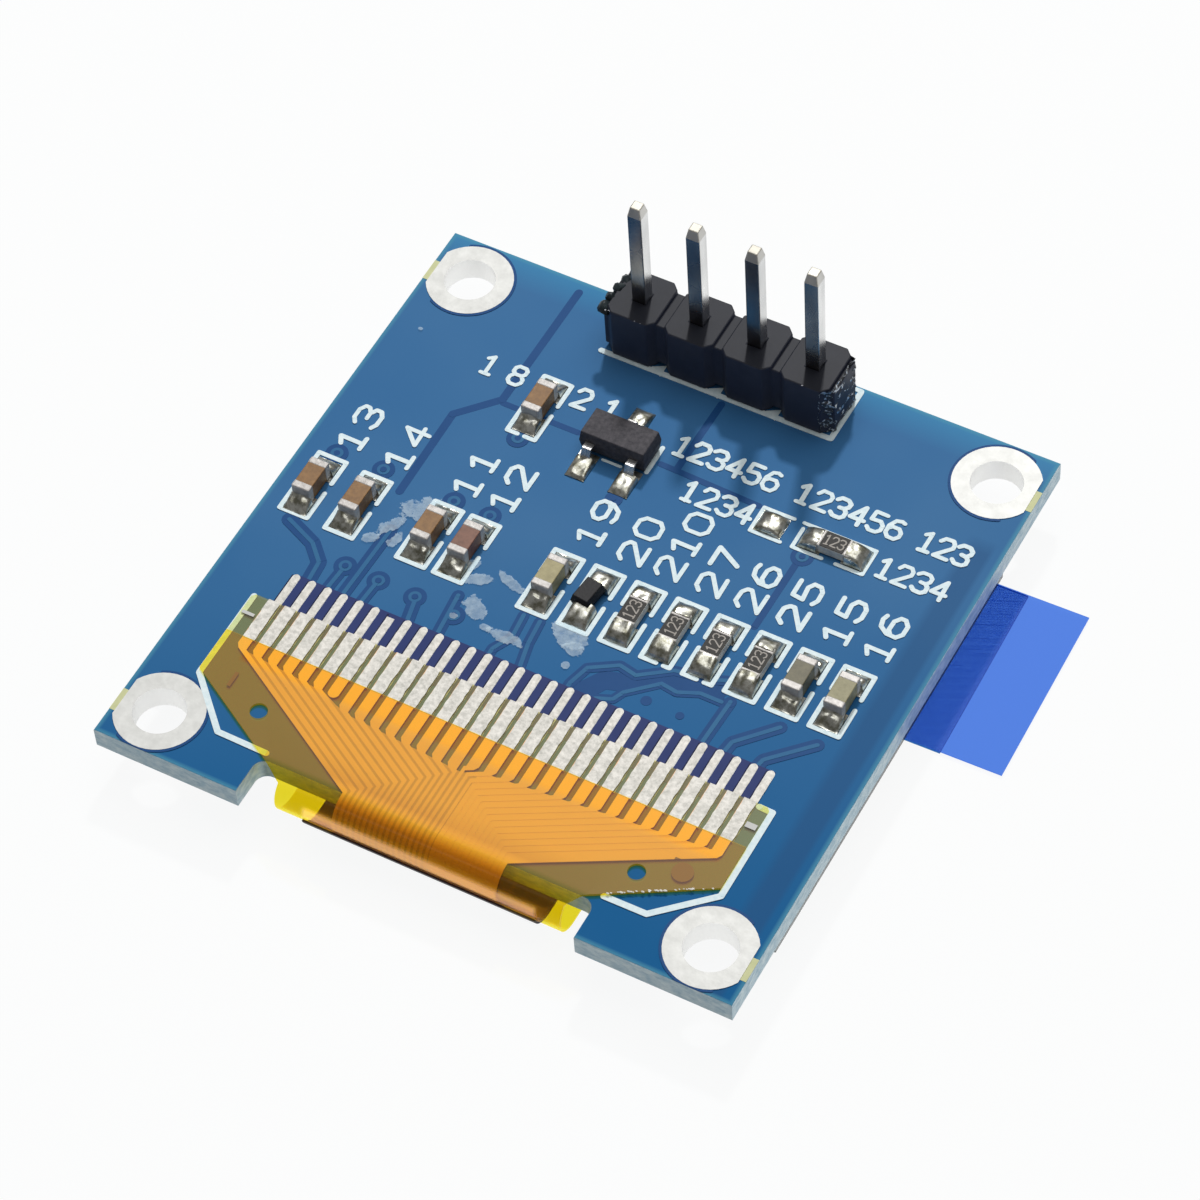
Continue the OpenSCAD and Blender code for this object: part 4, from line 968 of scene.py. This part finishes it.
haze = film_finish("dried_flux", (0.5, 0.5, 0.5), (0.42, 0.51, 0.55), specular=0.1)
cover = haze.add("Attribute", attribute_name="cover").outputs["Fac"]
flakes = haze.math("SUBTRACT", haze.grain(0.5, 6, 0.7), 0.5)
patchy = haze.math("ADD", cover, haze.math("MULTIPLY", flakes, 2.1))
share = haze.level(patchy, 0.4, 0.48, 0.0, 0.72)
share = haze.math("MULTIPLY", share, haze.level(haze.grain(0.3, 4, 0.6), 0.35, 0.6, 0.6, 1.0))
through = haze.add("BsdfTransparent", {"Color": (1, 1, 1, 1)})
surface = haze.output.inputs["Surface"]
film_shader = surface.links[0].from_socket
thinned = haze.add("MixShader", {0: share, 1: through.outputs[0], 2: film_shader})
haze.tree.links.new(thinned.outputs[0], surface)
films = bmesh.new()
cover_layer = films.verts.layers.float.new("cover")
SMEARS = [
    (-3.45, -2.45, 0.75, 0.55, -35), (-4.0, -1.2, 0.8, 0.34, 30), (-2.75, -0.8, 0.9, 0.3, -22),
    (-1.75, -3.15, 1.0, 0.34, -4), (0.45, -2.0, 1.1, 0.62, -14), (0.9, -2.5, 0.6, 0.4, 0),
    (-4.0, -3.15, 0.22, 0.2, 0), (-2.6, -3.1, 0.3, 0.2, 10), (0.97, -3.3, 0.22, 0.2, 0),
    (-4.5, -0.7, 0.5, 0.3, 60), (-8.3, -0.5, 0.9, 0.35, 62), (-7.8, -1.0, 0.6, 0.3, 80),
    (-8.7, -1.3, 0.5, 0.3, 40), (-7.6, 0.8, 1.3, 0.8, 40), (-12.2, 8.7, 0.14, 0.12, 0),
]
FAINT_SMEAR = 13
for k, (x, y, half_l, half_w, turn) in enumerate(SMEARS):
    centre = Matrix.Translation((x, y, BOARD_TOP + 0.047 + 0.002 * k))
    place = centre @ Matrix.Rotation(math.radians(turn), 4, "Z")
    sheet = bmesh.ops.create_grid(films, x_segments=14, y_segments=14, size=1)
    for v in sheet["verts"]:
        v[cover_layer] = max(0.0, 1 - v.co.length_squared) * (0.62 if k == FAINT_SMEAR else 1)
        v.co = place @ Vector((v.co.x * half_l, v.co.y * half_w, 0))
make_piece("flux_films", films, haze, "white_sheet", recalc=False)

# ---------------------------------------------------------------- floor, light and camera
# The module lies face down on a plain white sweep, under one soft main lamp from behind on the
# left and a broad dimmer one overhead.

floor_mesh = bmesh.new()
bmesh.ops.create_grid(floor_mesh, x_segments=1, y_segments=1, size=1.5)
paper_mesh = bpy.data.meshes.new("paper")
floor_mesh.to_mesh(paper_mesh)
floor_mesh.free()
paper = Finish("white_paper", (0.93, 0.93, 0.93), 0.9, specular=0.1)
ray = paper.add("LightPath").outputs
mirrored = paper.math("MAXIMUM", ray["Is Glossy Ray"], ray["Is Transmission Ray"])
seen = paper.math("MAXIMUM", ray["Is Camera Ray"], mirrored)
glow = paper.add("Emission", {"Color": (0.985, 0.99, 0.99, 1), "Strength": 1.0})
share = paper.math("MULTIPLY", seen, 0.93)
lit = paper.add("MixShader", {0: share, 1: paper.shader.outputs[0], 2: glow.outputs[0]})
paper.tree.links.new(lit.outputs[0], paper.output.inputs["Surface"])
paper_mesh.materials.append(paper.material)
floor = bpy.data.objects.new("paper_sweep", paper_mesh)
bpy.context.scene.collection.objects.link(floor)

world = bpy.data.worlds.new("studio")
bpy.context.scene.world = world
world.use_nodes = True
sky = world.node_tree.nodes["Background"].inputs
sky["Color"].default_value = (1, 1, 1, 1)
sky["Strength"].default_value = 0.18


def lamp(name, direction, distance, size, watts):
    """A square soft lamp that looks at the module."""
    data = bpy.data.lights.new(name, "AREA")
    data.size, data.energy = size, watts
    light = bpy.data.objects.new(name, data)
    aim = Vector(direction).normalized()
    light.location = aim * distance
    light.rotation_euler = (-aim).to_track_quat("-Z", "Y").to_euler()
    bpy.context.scene.collection.objects.link(light)


lamp("main_lamp", (-0.204, 0.588, 0.784), 0.42, 0.028, 0.85)
lamp("overhead_lamp", (0.0, 0.25, 1.0), 0.6, 0.5, 1.6)

camera_data = bpy.data.cameras.new("camera")
camera_data.lens = 139.26
camera_data.sensor_width = 36
camera_data.clip_start = 0.01
camera = bpy.data.objects.new("camera", camera_data)
camera.location = (0.056995, -0.090192, 0.143934)
camera.rotation_euler = [math.radians(turn) for turn in (36.9227, 2.6605, 28.4511)]
bpy.context.scene.collection.objects.link(camera)
bpy.context.scene.camera = camera
bpy.context.scene.view_settings.view_transform = "Standard"
